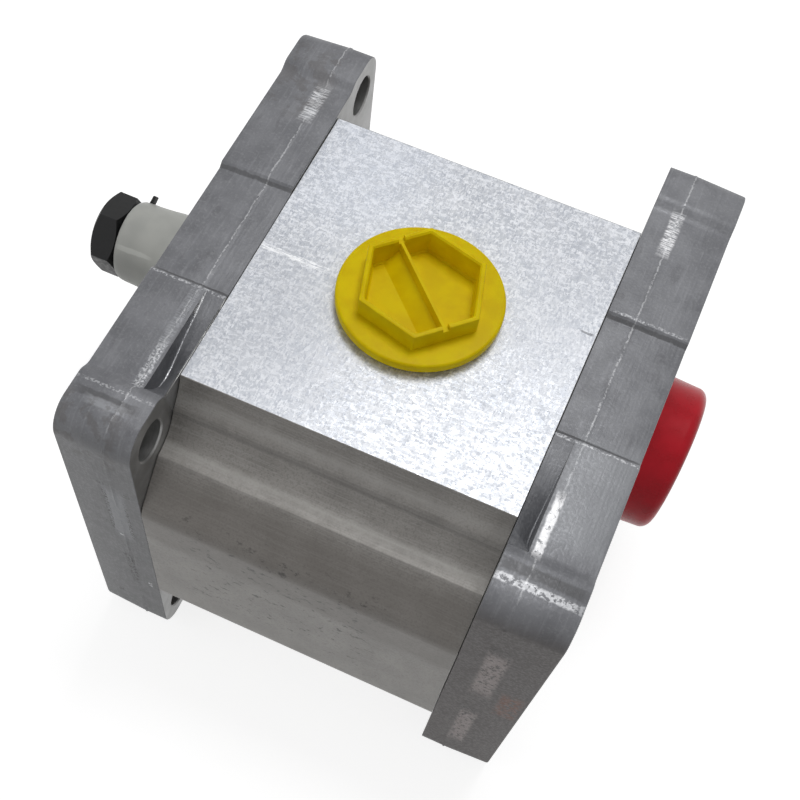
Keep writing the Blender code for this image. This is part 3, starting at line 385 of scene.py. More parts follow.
class Finish:
    """A material built from shader nodes; its colours are written in 0-255 steps."""

    def __init__(self, name, metallic=0.0, roughness=0.5):
        self.material = bpy.data.materials.new(name)
        self.material.use_nodes = True
        self.tree = self.material.node_tree
        self.shader = self.tree.nodes["Principled BSDF"]
        self.place = self.node("ShaderNodeTexCoord").outputs["Object"]
        self.shader.inputs["Metallic"].default_value = metallic
        self.shader.inputs["Roughness"].default_value = roughness

    def node(self, kind, **settings):
        made = self.tree.nodes.new(kind)
        for key, value in settings.items():
            setattr(made, key, value)
        return made

    def feed(self, socket, value):
        if isinstance(value, bpy.types.NodeSocket):
            self.tree.links.new(value, socket)
        elif isinstance(value, tuple) and len(value) == 3 and socket.type == "RGBA":
            socket.default_value = (*srgb(*value), 1)
        else:
            socket.default_value = value

    def maths(self, operation, first, second=0.0):
        made = self.node("ShaderNodeMath", operation=operation)
        self.feed(made.inputs[0], first)
        self.feed(made.inputs[1], second)
        return made.outputs[0]

    def vector(self, operation, first, second=(0, 0, 0)):
        made = self.node("ShaderNodeVectorMath", operation=operation)
        self.feed(made.inputs[0], first)
        self.feed(made.inputs[1], second)
        return made.outputs[0]

    def mix(self, share, first, second):
        made = self.node("ShaderNodeMix", data_type="RGBA")
        self.feed(made.inputs["Factor"], share)
        self.feed(made.inputs[6], first)
        self.feed(made.inputs[7], second)
        return made.outputs[2]

    def texture(self, kind, size, stretch, wobble=0.0):
        """A texture whose grains are about size metres, longer along an axis by its stretch."""
        place = self.vector("DIVIDE", self.place, tuple(float(size * s) for s in stretch))
        made = self.node(kind)
        self.feed(made.inputs["Vector"], self.torn(place, size, wobble) if wobble else place)
        made.inputs["Scale"].default_value = 1.0
        return made

    def noise(self, size, stretch=(1, 1, 1), detail=3.0, rough=0.5, output=0):
        made = self.texture("ShaderNodeTexNoise", size, stretch)
        made.inputs["Detail"].default_value = detail
        made.inputs["Roughness"].default_value = rough
        return made.outputs[output]

    def torn(self, place, size, wobble):
        """A place that a noise shakes, so that what is drawn by it gets torn edges."""
        shift = self.vector("SUBTRACT", self.noise(size, output=1), (0.5, 0.5, 0.5))
        return self.vector("ADD", place, self.vector("MULTIPLY", shift, (wobble, wobble, wobble)))

    def cells(self, size, stretch, wobble):
        """A random level for each small cell."""
        made = self.texture("ShaderNodeTexVoronoi", size, stretch, wobble)
        split = self.node("ShaderNodeSeparateColor")
        self.feed(split.inputs[0], made.outputs["Color"])
        return split.outputs[0]

    def ramp(self, value, low, high, to_low=0.0, to_high=1.0):
        made = self.node("ShaderNodeMapRange", interpolation_type="SMOOTHSTEP")
        self.feed(made.inputs["Value"], value)
        for key, number in (("From Min", low), ("From Max", high), ("To Min", to_low), ("To Max", to_high)):
            made.inputs[key].default_value = number
        return made.outputs[0]

    def mark(self, under, colour, centre, half, share=1.0, soft=0.3, wobble=0.0008, broken=None):
        """Colours a box about a seen place, in millimetres; a noise (size, stretch, level) breaks it up."""
        place = self.torn(self.place, MARK_GRAIN, wobble)
        away = self.vector("ABSOLUTE", self.vector("SUBTRACT", place, seen(*centre)))
        away = self.vector("DIVIDE", away, tuple(length / 1000 for length in half))
        parts = self.node("ShaderNodeSeparateXYZ")
        self.feed(parts.inputs[0], away)
        farthest = self.maths("MAXIMUM", parts.outputs[0], parts.outputs[1])
        farthest = self.maths("MAXIMUM", farthest, parts.outputs[2])
        mask = self.ramp(farthest, 1 + soft, 1 - soft)
        if broken:
            size, stretch, level = broken
            grain = self.noise(size, stretch, detail=4.0, rough=0.65)
            mask = self.maths("MULTIPLY", mask, self.ramp(grain, level - 0.05, level + 0.05))
        return self.mix(self.maths("MULTIPLY", mask, share), under, colour)

    def dull(self, level=0.15):
        self.shader.inputs["Specular IOR Level"].default_value = level

    def soften(self, weight, radius):
        self.shader.inputs["Subsurface Weight"].default_value = weight
        self.shader.inputs["Subsurface Radius"].default_value = radius

    def colour(self, value):
        self.feed(self.shader.inputs["Base Color"], value)

    def roughness(self, grain, smoothest, roughest, low=0.3, high=0.7):
        self.feed(self.shader.inputs["Roughness"], self.ramp(grain, low, high, smoothest, roughest))

    def tones(self, grain, first, second, low=0.3, high=0.7):
        """Two colours that follow a grain."""
        return self.mix(self.ramp(grain, low, high), first, second)

    def bump(self, height, distance, strength=1.0):
        made = self.node("ShaderNodeBump")
        made.inputs["Distance"].default_value = distance
        made.inputs["Strength"].default_value = strength
        self.feed(made.inputs["Height"], height)
        self.feed(self.shader.inputs["Normal"], made.outputs[0])
        return self.material


# How a noise breaks a mark up: its size, its stretch along each axis, and the level above which it shows
CHUNKS = (0.0009, (1, 1, 1), 0.47)
STREAKS = (0.0002, (14, 1, 1), 0.5)
SPECKS = (0.0005, (1, 1, 1), 0.52)
STAINS = (0.004, (1, 1, 1), 0.5)
TORN = (0.0008, (1, 1, 1), 0.44)

# Marks on the covers in millimetres, with painted shade and painted highlights at the near ear feet and the
# rear far waist step among them: colour, place, half size, share and how it is broken up
COVER_MARKS_AND_PAINTED_LIGHT = (
    ("pale", (10.6, 36, 42), (0.7, 5, 2), 0.5, None),
    ("light", (10.5, 35.6, 42), (1.5, 4.8, 2), 0.85, STREAKS),
    ("stain", (6, 40, 42), (6, 9, 2), 0.4, STAINS),
    ("pale", (88.9, 36.3, 42), (0.7, 5, 2), 0.5, None),
    ("white", (88.8, 36.3, 42), (1.2, 5.2, 2), 0.85, STREAKS),
    ("pale", (10.6, -29, 42), (1.0, 12, 2), 0.5, STREAKS),
    ("light", (10.7, -37, 42), (0.9, 5.2, 2), 0.6, SPECKS),
    ("pale", (94, -27, 42), (6, 12, 2), 0.45, None),
    ("white", (88.9, -35.5, 42), (0.8, 6.4, 2), 0.95, (0.0012, (1, 1, 1), 0.42)),
    # Painted shade in the rear cover's near ear foot, then a painted highlight on its rounding
    ("dark", (91.5, -46.0, 42), (8, 1.1, 1.6), 0.55, None),
    ("light", (91.5, -48.7, 43.4), (8.4, 0.8, 1.5), 0.75, CHUNKS),
    # Painted shade at the front cover's near ear foot, with painted highlights on the ramp beside it and on
    # the ear's rounding
    ("dark", (7.5, -47.4, 43), (6, 0.8, 1.5), 0.5, None),
    ("light", (7.8, -44.9, 42.3), (7.8, 0.3, 1.2), 0.4, SPECKS),
    ("pale", (8.3, -48.6, 43), (4, 0.9, 1.5), 0.6, None),
    # Painted highlight along the edge of the rear cover's far waist step
    ("light", (92, 13.6, 42), (7, 0.3, 1.2), 0.5, SPECKS),
    ("stain", (6, -52, 39), (7, 4, 6), 0.45, STAINS),
)

# Painted shade and painted highlights across both covers at their waist steps, a painted shadow line on each
# step and a painted highlight along the near step's outer edge: colour, Y, half size, share and how it is
# broken up
WAIST_PAINTED_LIGHT = (
    ("dark", -16.1, (9, 0.35, 1.6), 0.6, None),
    ("light", -17.1, (9, 0.3, 1.2), 0.6, SPECKS),
    ("dark", 12.5, (9, 0.35, 1.6), 0.5, None),
)

# Marks on the end faces: colour, X, Z, half size along X and Z, share and how it is broken up
END_MARKS = (
    ("pink", 90.5, 15, 2.1, 10.7, 0.75, TORN),
    ("pink", 90.5, -19.3, 1.7, 10.3, 0.75, TORN),
    ("dark", 90.4, 27.6, 2.4, 1.8, 0.6, SPECKS),
    ("dark", 90.4, -7, 2.2, 1.7, 0.7, SPECKS),
    ("rust", 96.8, 2.5, 2.2, 6, 0.55, CHUNKS),
    ("pale", 10.6, 14, 2.2, 10, 0.45, None),
    ("dark", 8.4, 14, 0.5, 9, 0.9, SPECKS),
    ("dark", 12.7, 12, 0.4, 8, 0.9, SPECKS),
    ("dark", 10.4, -13, 0.9, 8, 0.8, SPECKS),
    ("dark", 8.2, 25.3, 1.1, 0.5, 0.7, SPECKS),
    ("dark", 13.5, 23.9, 0.9, 0.6, 0.7, SPECKS),
    ("dark", 6.1, 7.7, 0.9, 0.5, 0.7, SPECKS),
    ("light", 10.1, 4.1, 0.7, 0.4, 0.7, SPECKS),
    ("dark", 9.6, -6.5, 1.2, 0.5, 0.7, SPECKS),
    ("light", 14.1, -18.6, 0.5, 1.1, 0.7, SPECKS),
    ("dark", 5.2, -30.9, 0.9, 0.7, 0.7, SPECKS),
)


def make_cast():
    made = Finish("cast_skin", metallic=0.3)
    broad = made.noise(0.006, detail=5.0)
    fine = made.noise(0.0006, detail=3.0)
    base = made.tones(broad, (104, 105, 109), (122, 123, 127))
    streaks = made.noise(0.0006, stretch=(1, 14, 14), detail=3.0)
    base = made.mix(made.ramp(streaks, 0.5, 0.75, 0.0, 0.25), base, (150, 151, 155))
    stains = made.noise(0.0035, stretch=(1, 2, 2), detail=5.0, rough=0.65)
    base = made.mix(made.ramp(stains, 0.56, 0.68, 0.0, 0.45), base, (88, 88, 92))
    base = made.mix(made.ramp(fine, 0.48, 0.72, 0.0, 0.25), base, (160, 161, 163))
    # Painted shade over the near end faces and end roundings of both covers, deeper and brown grey on the
    # rear cover
    base = made.mark(base, (66, 60, 57), (92, -60, 0), (9, 8.5, 40), 0.85, soft=0.08)
    base = made.mark(base, (98, 98, 97), (7.5, -60, 0), (9, 8.2, 40), 0.5, soft=0.08)
    for parting in (10.6, 89.1):
        base = made.mark(base, (205, 206, 208), (parting, 8, 0), (0.16, 60, 60), 0.5, 0.05,
                         broken=(0.0007, (1, 1, 1), 0.47))
    colours = {
        "white": (240, 240, 242),
        "light": (222, 223, 226),
        "pale": (158, 160, 164),
        "dark": (58, 57, 57),
        "stain": (86, 82, 80),
        "pink": (150, 141, 139),
        "rust": (112, 70, 52),
    }
    marks_and_painted_light = list(COVER_MARKS_AND_PAINTED_LIGHT)
    # Painted shadow lines and highlights at the waist steps of both covers
    for x in (7.5, 92):
        marks_and_painted_light += [(colour, (x, y, 42), half, share, broken) for colour, y, half, share, broken in WAIST_PAINTED_LIGHT]
    for colour, x, z, half_x, half_z, share, broken in END_MARKS:
        marks_and_painted_light.append((colour, (x, END_Y, z), (half_x, 2, half_z), share, broken))
    for colour, centre, half, share, broken in marks_and_painted_light:
        base = made.mark(base, colours[colour], centre, half, share, broken=broken)
    made.colour(base)
    made.roughness(fine, 0.42, 0.6)
    return made.bump(made.maths("ADD", fine, streaks), 0.0001, 0.6)


def make_machined():
    made = Finish("machined_face", metallic=0.6, roughness=0.36)
    broad = made.noise(0.004, detail=4.0)
    lines = made.noise(0.0003, stretch=(1, 18, 18), detail=2.0)
    base = made.tones(broad, (140, 140, 139), (160, 160, 160))
    made.colour(made.mix(made.ramp(lines, 0.4, 0.7, 0.0, 0.3), base, (120, 119, 118)))
    return made.bump(lines, 0.00004, 0.5)


# Painted highlight: a bright grained finish that stands for the light caught along the crease of the front
# cover's groove
def make_crease_highlight():
    made = Finish("painted_crease_highlight", metallic=0.7, roughness=0.3)
    grain = made.noise(0.0005, detail=4.0, rough=0.7)
    made.colour(made.tones(grain, (168, 169, 171), (226, 227, 230), 0.35, 0.65))
    return made.bump(grain, 0.00008, 0.7)


def make_drawn():
    made = Finish("drawn_flank", metallic=0.3)
    lines = made.noise(0.0003, stretch=(40, 1, 1), detail=3.0)
    broad = made.noise(0.008, detail=4.0)
    grain = made.noise(0.0004, detail=2.0)
    base = made.tones(broad, (122, 119, 115), (140, 137, 133))
    base = made.mix(made.ramp(lines, 0.42, 0.7, 0.0, 0.4), base, (160, 158, 155))
    base = made.mix(made.ramp(grain, 0.45, 0.7, 0.0, 0.4), base, (96, 93, 90))
    pits = (0.0012, (1.6, 1, 1), 0.62)
    # Painted highlights: a light band in the near flank's lower hollow above the ridge, and one in the upper
    # hollow below the port edge
    base = made.mark(base, (188, 186, 182), (50, -45.4, 30.2), (36, 1.4, 1.3), 0.55, soft=0.7)
    base = made.mark(base, (172, 170, 167), (50, -38.2, 37.2), (36, 0.9, 1.3), 0.4, soft=0.7)
    # Painted shade along the near flank's crease
    base = made.mark(base, (84, 82, 80), (50, -39.8, 34.5), (36, 0.6, 0.6), 0.45, soft=0.7)
    # Painted shade over the near flank below the ridge and round the end corner
    base = made.mark(base, (92, 87, 82), (50, -51, 18.5), (36, 5.5, 9), 0.55, soft=0.25)
    base = made.mark(base, (46, 44, 42), (46, -55.8, 6), (21, 3, 16), 0.85, broken=pits)
    base = made.mark(base, (140, 84, 76), (18.5, -52, 19.4), (0.6, 1.5, 0.8), 0.7)
    made.colour(base)
    made.roughness(lines, 0.34, 0.48)
    return made.bump(lines, 0.00003, 0.4)


def make_port_face():
    made = Finish("milled_port_face", metallic=0.35)
    flakes = made.cells(0.0006, stretch=(1.5, 0.7, 1), wobble=1.6)
    chips = made.cells(0.0005, stretch=(0.6, 1.6, 1), wobble=1.8)
    broad = made.noise(0.006, detail=3.0)
    base = made.tones(broad, (186, 190, 197), (196, 199, 205), 0.35, 0.65)
    base = made.mix(made.ramp(flakes, 0.55, 0.85, 0.0, 0.65), base, (224, 226, 231))
    base = made.mix(made.ramp(chips, 0.6, 0.9, 0.0, 0.6), base, (230, 232, 236))
    base = made.mix(made.ramp(chips, 0.06, 0.22, 0.5, 0.0), base, (160, 165, 176))
    # Painted reflection across the milled face: greyer towards the front on the near side and towards the
    # rear, lighter and bluer towards the front on the far side
    base = made.mark(base, (172, 175, 182), (30, -16, 41), (13, 14, 1), 0.35, soft=0.8)
    base = made.mark(base, (180, 183, 190), (74, 8, 41), (9, 20, 1), 0.25, soft=0.8)
    base = made.mark(base, (222, 228, 240), (28, 24, 41), (12, 14, 1), 0.3, soft=0.8)
    base = made.mark(base, (248, 249, 251), (23, -2, 41), (7, 0.6, 1), 0.9, broken=STREAKS)
    base = made.mark(base, (96, 98, 104), (81.5, 7, 41), (1.3, 0.25, 1), 0.7)
    made.colour(base)
    made.roughness(flakes, 0.3, 0.5, 0.35, 0.65)
    return made.bump(flakes, 0.00005, 0.5)


def make_steel():
    made = Finish("turned_steel", metallic=0.95)
    lines = made.noise(0.0004, stretch=(1, 12, 12), detail=2.0)
    made.colour(made.tones(lines, (128, 128, 130), (160, 160, 163), 0.35, 0.65))
    made.roughness(lines, 0.22, 0.38)
    return made.bump(lines, 0.00003, 0.4)


def make_black_steel():
    made = Finish("blackened_steel", metallic=0.1)
    made.dull(0.3)
    grain = made.noise(0.0012, detail=4.0)
    made.colour(made.tones(grain, (9, 9, 10), (20, 21, 22), 0.35, 0.7))
    made.roughness(grain, 0.35, 0.55)
    return made.bump(grain, 0.00005, 0.4)


def make_bronze():
    made = Finish("bearing_bronze", metallic=0.9)
    grain = made.noise(0.0008, detail=4.0)
    made.colour(made.tones(grain, (140, 104, 62), (172, 134, 84)))
    made.roughness(grain, 0.3, 0.5)
    return made.bump(grain, 0.00003, 0.4)


def make_rubber():
    made = Finish("seal_rubber")
    grain = made.noise(0.0005, detail=3.0)
    made.colour(made.tones(grain, (24, 24, 25), (38, 38, 39)))
    made.roughness(grain, 0.55, 0.75)
    return made.bump(grain, 0.00003, 0.5)


def make_white_plastic():
    made = Finish("milky_plastic")
    made.dull()
    cloud = made.noise(0.007, detail=2.0)
    base = made.tones(cloud, (176, 177, 173), (188, 189, 184))
    made.colour(made.mark(base, (222, 223, 218), (-21.8, 8.2, 6.4), (4.3, 0.4, 0.6), 0.5, wobble=0.0003))
    made.roughness(cloud, 0.36, 0.48)
    made.soften(0.25, (0.001, 0.001, 0.001))
    return made.bump(made.noise(0.0008), 0.00003, 0.3)


def make_yellow_plastic():
    made = Finish("yellow_plastic")
    made.dull(0.08)
    cloud = made.noise(0.004, detail=3.0)
    made.colour(made.tones(cloud, (218, 190, 2), (228, 204, 6)))
    made.roughness(cloud, 0.38, 0.5)
    made.soften(0.3, (0.0012, 0.0008, 0.0002))
    return made.bump(made.noise(0.001), 0.00004, 0.3)


def make_red_plastic():
    made = Finish("red_plastic")
    made.dull()
    cloud = made.noise(0.005, detail=3.0)
    made.colour(made.tones(cloud, (180, 22, 36), (194, 30, 44)))
    made.roughness(cloud, 0.24, 0.34)
    return made.bump(made.noise(0.0012), 0.00004, 0.3)


CAST = make_cast()
MACHINED = make_machined()
CREASE_HIGHLIGHT = make_crease_highlight()
DRAWN = make_drawn()
PORT_FACE = make_port_face()
STEEL = make_steel()
BLACK_STEEL = make_black_steel()
BRONZE = make_bronze()
RUBBER = make_rubber()
WHITE_PLASTIC = make_white_plastic()
YELLOW_PLASTIC = make_yellow_plastic()
RED_PLASTIC = make_red_plastic()


def finish_faces(piece, finish, chosen):
    """Gives a finish to the faces for which chosen(face) is true."""
    if piece.data.materials.find(finish.name) < 0:
        piece.data.materials.append(finish)
    slot = piece.data.materials.find(finish.name)
    for face in piece.data.polygons:
        if chosen(face):
            face.material_index = slot


# Studio

def make_camera():
    data = bpy.data.cameras.new("camera")
    data.sensor_width = 36
    data.lens = 50.715
    data.shift_x = 0.0871
    data.shift_y = 0.2004
    data.clip_start = 0.01
    camera = bpy.data.objects.new("camera", data)
    right = Vector((0.9081, 0.41624, 0.04583))
    up = Vector((-0.39745, 0.82226, 0.40735))
    back = Vector((0.13187, -0.38813, 0.91212))
    turn = Matrix((right, up, back)).transposed().to_4x4()
    camera.matrix_world = Matrix.Translation((0.044423, -0.133238, 0.261633)) @ turn
    bpy.context.scene.collection.objects.link(camera)
    bpy.context.scene.camera = camera


def background_rays(tree):
    """1 for the rays that show the background: camera, glossy and transmission rays."""
    path = tree.nodes.new("ShaderNodeLightPath")
    total = path.outputs["Is Camera Ray"]
    for key in ("Is Glossy Ray", "Is Transmission Ray"):
        larger = tree.nodes.new("ShaderNodeMath")
        larger.operation = "MAXIMUM"
        tree.links.new(total, larger.inputs[0])
        tree.links.new(path.outputs[key], larger.inputs[1])
        total = larger.outputs[0]
    return total


def make_world():
    world = bpy.data.worlds.new("studio")
    world.use_nodes = True
    bpy.context.scene.world = world
    tree = world.node_tree
    shade = tree.nodes["Background"]
    strength = tree.nodes.new("ShaderNodeMapRange")
    strength.inputs["To Min"].default_value = 0.3
    strength.inputs["To Max"].default_value = 1.0
    tree.links.new(background_rays(tree), strength.inputs["Value"])
    tree.links.new(strength.outputs[0], shade.inputs["Strength"])
    shade.inputs["Color"].default_value = (1, 1, 1, 1)


def make_lamp(name, place, aim, size, power):
    data = bpy.data.lights.new(name, "AREA")
    data.shape = "SQUARE"
    data.size = size
    data.energy = power
    lamp = bpy.data.objects.new(name, data)
    lamp.location = place
    lamp.rotation_euler = (Vector(aim) - Vector(place)).to_track_quat("-Z", "Y").to_euler()
    bpy.context.scene.collection.objects.link(lamp)


def make_floor():
    floor = block("floor", (-3, -3, -0.01), (3, 3, 0))
    surface = bpy.data.materials.new("floor")
    surface.use_nodes = True
    tree = surface.node_tree
    shader = tree.nodes["Principled BSDF"]
    shader.inputs["Base Color"].default_value = (0.45, 0.45, 0.45, 1)
    shader.inputs["Roughness"].default_value = 0.9
    shader.inputs["Emission Color"].default_value = (1, 1, 1, 1)
    lift = tree.nodes.new("ShaderNodeMath")
    lift.operation = "MULTIPLY"
    lift.inputs[1].default_value = 0.8
    tree.links.new(background_rays(tree), lift.inputs[0])
    tree.links.new(lift.outputs[0], shader.inputs["Emission Strength"])
    floor.data.materials.append(surface)


make_camera()
make_world()
make_lamp("key_lamp", (0.03, 0.16, 0.55), (0.01, 0, 0.07), 0.22, 1.1)
make_lamp("side_lamp", (-0.45, -0.30, 0.30), (0, 0, 0.04), 0.35, 0.3)
make_floor()


# Pieces

def cover_outline():
    foot = BOLT_Y - EAR_FOOT
    neck = foot - NECK_WIDTH
    near = [
        (-EAR_Y, EAR_Z, EAR_RADIUS),
        (-foot, EAR_Z, NECK_RADIUS),
        (-neck, SIDE_HEIGHT, NECK_RADIUS),
        (-WAIST_NEAR - WAIST_STEP, SIDE_HEIGHT, WAIST_STEP / 2),
        (-WAIST_NEAR, WAIST_HEIGHT, WAIST_STEP / 2),
    ]
    far = [
        (WAIST_FAR, WAIST_HEIGHT, WAIST_STEP / 2),
        (WAIST_FAR + WAIST_STEP, SIDE_HEIGHT, WAIST_STEP / 2),
        (neck, SIDE_HEIGHT, NECK_RADIUS),
        (foot, EAR_Z, NECK_RADIUS),
        (EAR_Y, EAR_Z, EAR_RADIUS),
    ]
    return refined(rounded(mirrored(near + far)), 0.0012)


def drawn_in(outline, depths):
    """Shrinks an outline about its middle, by about the given depth at its ends."""
    scales = [1 - depth / EAR_Y for depth in depths]
    return [(a * scale, b * scale) for (a, b), scale in zip(outline, scales)]


def flash_depths(outline, seed, skin):
    """The torn flash line stands out from the skin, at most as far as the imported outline."""
    depths = []
    for a, b in outline:
        torn = noise.noise(Vector((a * 420, b * 420, seed))) + noise.noise(Vector((a * 1300, b * 1300, seed)))
        depths.append(skin * (1 - max(0.0, min(1.0, 0.55 + torn))))
    return depths


def cover_rings(parting, thickness, seed):
    """Rings of a cast cover from its outer end: a worn edge, drafted sides and a flash line."""
    outline = cover_outline()
    skin = 0.0002
    outer = drawn_in(outline, [skin + 0.0004] * len(outline))
    inner = drawn_in(outline, [skin] * len(outline))
    flash = drawn_in(outline, flash_depths(outline, seed, skin))
    return [
        at_height(inset(outer, 0.0004), 0),
        at_height(inset(outer, 0.00012), 0.00012),
        at_height(outer, 0.0004),
        at_height(inner, parting - 0.0008),
        at_height(inner, parting - 0.0004),
        at_height(flash, parting),
        at_height(inner, parting + 0.0004),
        at_height(inner, parting + 0.0008),
        at_height(inner, thickness - 0.0001),
        at_height(inset(inner, 0.0001), thickness),
    ]


def cut_bolt_holes(cover, start, thickness):
    for _, y, z in corner_places(BOLT_Y, BOLT_Z):
        chamfered_bore(cover, "bolt_way", BOLT_HOLE_RADIUS, thickness, BOLT_HOLE_CHAMFER,
                       lying(start, y, z), MACHINED, 64)


def cut_screw_holes(piece, start, steps):
    for _, y, z in corner_places(SCREW_Y, SCREW_Z):
        bore(piece, "screw_way", steps, lying(start, y, z), MACHINED, 48)


def length_x(piece, face):
    """A face's length along the shaft."""
    places = [piece.data.vertices[i].co.x for i in face.vertices]
    return max(places) - min(places)


def cut_scoops(cover, face_x, direction):
    """Cuts a groove beside the body, above and below; on the front cover its crease gets a painted highlight.
    """
    for side in (1, -1):
        rings = []
        for away, depth in SCOOP_STATIONS:
            foot = SCOOP_WIDTH - SCOOP_LEAN * depth
            rise = min(depth, SIDE_HEIGHT - (PORT_TOP - MIDDLE_Z))
            section = [
                (SCOOP_WIDTH, SCOOP_WIDTH), (SCOOP_WIDTH, 0), (foot + CREASE, -depth),
                (foot - CREASE, -depth), (-CREASE, -rise), (-CREASE, SCOOP_WIDTH),
            ]
            rings.append([(face_x - direction * x, -away, MIDDLE_Z + side * (SIDE_HEIGHT + z))
                          for x, z in section])
        groove = loft("scoop", rings, finish=CAST)
        # On the front cover the crease faces get the painted highlight
        if direction > 0:
            finish_faces(groove, CREASE_HIGHLIGHT, lambda face: abs(face.normal.x) < 0.5
                         and length_x(groove, face) < 4 * CREASE)
        combine(cover, groove)


def cut_dowel_holes(piece, face_x):
    for side in (-1, 1):
        bore(piece, "dowel_way", [(DOWEL_RADIUS, DOWEL_DEPTH, -DOWEL_DEPTH)],
             lying(face_x, side * DOWEL_Y), MACHINED, 32)


def machine_ends(piece):
    finish_faces(piece, MACHINED, lambda face: abs(face.normal.x) > 0.995)


def finish_cover(cover, node, face_x, direction):
    """The dowel holes, the grooves and the milled faces that both covers have."""
    cut_dowel_holes(cover, face_x)
    cut_scoops(cover, face_x, direction)
    machine_ends(cover)
    settle(cover, node, "housing")


def make_front_cover():
    thickness = FRONT_HIGH.x + JOINT_FILL - MOUNT_X
    rings = cover_rings(thickness - PARTING_DEPTH, thickness, 3.1)
    cover = loft("front_cover_skin", rings, lying(MOUNT_X), CAST)
    chamfer = 0.0008
    combine(cover, turned("pilot", [
        (0, OVERRUN), (PILOT_RADIUS, OVERRUN), (PILOT_RADIUS, -PILOT_HEIGHT + chamfer),
        (PILOT_RADIUS - chamfer, -PILOT_HEIGHT), (0, -PILOT_HEIGHT),
    ], lying(MOUNT_X, AXIS_Y), MACHINED), "UNION")
    groove_start, groove_end, groove_radius = RING_GROOVE
    bore(cover, "shaft_way", [
        (SHAFT_WAY_RADIUS, PILOT_HEIGHT + thickness + OVERRUN, SEAL_POCKET_DEPTH),
        (SEAL_POCKET_RADIUS, SEAL_POCKET_DEPTH, groove_end),
        (groove_radius, groove_end, groove_start),
        (SEAL_POCKET_RADIUS, groove_start, -OVERRUN),
    ], lying(FRONT_LOW.x, AXIS_Y), MACHINED)
    cut_bolt_holes(cover, MOUNT_X, thickness)
    cut_screw_holes(cover, FRONT_HIGH.x, [(SCREW_HOLE_RADIUS, OVERRUN, -THREAD_DEPTH)])
    finish_cover(cover, "front_cover", FRONT_HIGH.x, 1)


def make_rear_cover():
    start = REAR_LOW.x - JOINT_FILL
    thickness = REAR_HIGH.x - start
    rings = cover_rings(thickness - PARTING_DEPTH, thickness, 8.4)
    turned_round = [[(a, b, thickness - height) for a, b, height in ring] for ring in rings]
    cover = loft("rear_cover_skin", turned_round, lying(start), CAST)
    stub_radius, stub_depth = STUB_WAY
    bore(cover, "rear_way", [
        (PILOT_RADIUS, thickness + OVERRUN, thickness - RECESS_DEPTH),
        (COUPLING_WAY_RADIUS, thickness - RECESS_DEPTH, stub_depth),
        (stub_radius, stub_depth, -OVERRUN),
    ], lying(start, AXIS_Y), MACHINED)
    cut_bolt_holes(cover, start, thickness)
    head_radius, head_floor = HEAD_WAY
    cut_screw_holes(cover, start, [
        (head_radius, thickness + OVERRUN, head_floor),
        (SCREW_HOLE_RADIUS, head_floor, -OVERRUN),
    ])
    finish_cover(cover, "rear_cover", start, -1)


def hollow_arc(start, end, depth, steps=14):
    """Points along a shallow arc that sinks to the left of the way from start to end."""
    way = Vector(end) - Vector(start)
    inward = Vector((-way.y, way.x)).normalized()
    shares = [k / steps for k in range(1, steps)]
    return [(*(Vector(start) + way * s + inward * 4 * s * (1 - s) * depth), 0) for s in shares]


def flank(end_z, ridge, edge, edge_radius):
    """The corners of one flank: an end face, a ridge and a crease with hollows between, the port edge."""
    return [
        (BODY_HIGH.y, end_z, 0.005), (*ridge, 0.0004),
        *hollow_arc(ridge, FLANK_CREASE, FLANK_LOWER_HOLLOW),
        (*FLANK_CREASE, 0.0003),
        *hollow_arc(FLANK_CREASE, edge, FLANK_UPPER_HOLLOW),
        (*edge, edge_radius),
    ]


def body_outline():
    """The extruded section: flat port faces and end faces, with two hollows on each flank."""
    near = flank(FLANK_END, FLANK_RIDGE, (PORT_FACE_NEAR, PORT_TOP - MIDDLE_Z), 0.00025)
    far = flank(FLANK_END_FAR, FLANK_RIDGE_FAR, (PORT_FACE_FAR, PORT_TOP - MIDDLE_Z), 0.00025)
    upper = [(-y, z, radius) for y, z, radius in near] + far[::-1]
    return refined(rounded(mirrored(upper), per_turn=180), 0.002)


def chamber_outline(steps=90):
    """The outline of two crossing circles, one about each gear axis."""
    reach = math.pi - math.acos(AXIS_Y / CHAMBER_RADIUS)
    angles = [-reach + 2 * reach * k / steps for k in range(steps)]
    right = [(AXIS_Y + CHAMBER_RADIUS * math.cos(a), CHAMBER_RADIUS * math.sin(a)) for a in angles]
    return right + [(-a, -b) for a, b in right]


def cut_seal_groove(body, face_x, inward, steps=40, sides=12):
    """Cuts a round groove into an end of the body, along a closed path round both gear axes."""
    rings = []
    for side in (1, -1):
        for k in range(steps + 1):
            angle = -math.pi / 2 + math.pi * k / steps
            out = Vector((side * math.cos(angle), side * math.sin(angle), 0))
            middle = Vector((side * AXIS_Y, 0, 0)) + out * BODY_SEAL_REACH
            turns = [2 * math.pi * i / sides for i in range(sides)]
            spokes = [out * math.cos(t) + Vector((0, 0, math.sin(t))) for t in turns]
            rings.append([middle + spoke * BODY_SEAL_WIRE for spoke in spokes])
    matrix = lying(face_x + inward * SEAL_SINK)
    combine(body, loft("seal_groove", rings, matrix, MACHINED, capped=False, looped=True))


def cut_port(body, radius, depth, upwards):
    face_z = PORT_TOP - MIDDLE_Z
    floor = face_z - depth
    matrix = Matrix.Translation((PORT_MIDDLE.x, PORT_MIDDLE.y, MIDDLE_Z))
    if not upwards:
        matrix = matrix @ Matrix.Rotation(math.pi, 4, "X")
    inner = radius - PORT_THREAD
    combine(body, turned("port_way", [
        (0, face_z + OVERRUN), (radius + OVERRUN, face_z + OVERRUN), (radius, face_z - 0.0008),
        *threaded(radius, inner, floor, face_z - THREAD_PITCH)[:-1],
        (inner, floor), (PASSAGE_RADIUS, floor),
        (PASSAGE_RADIUS, CHAMBER_RADIUS / 4), (0, CHAMBER_RADIUS / 4),
    ], matrix, MACHINED))


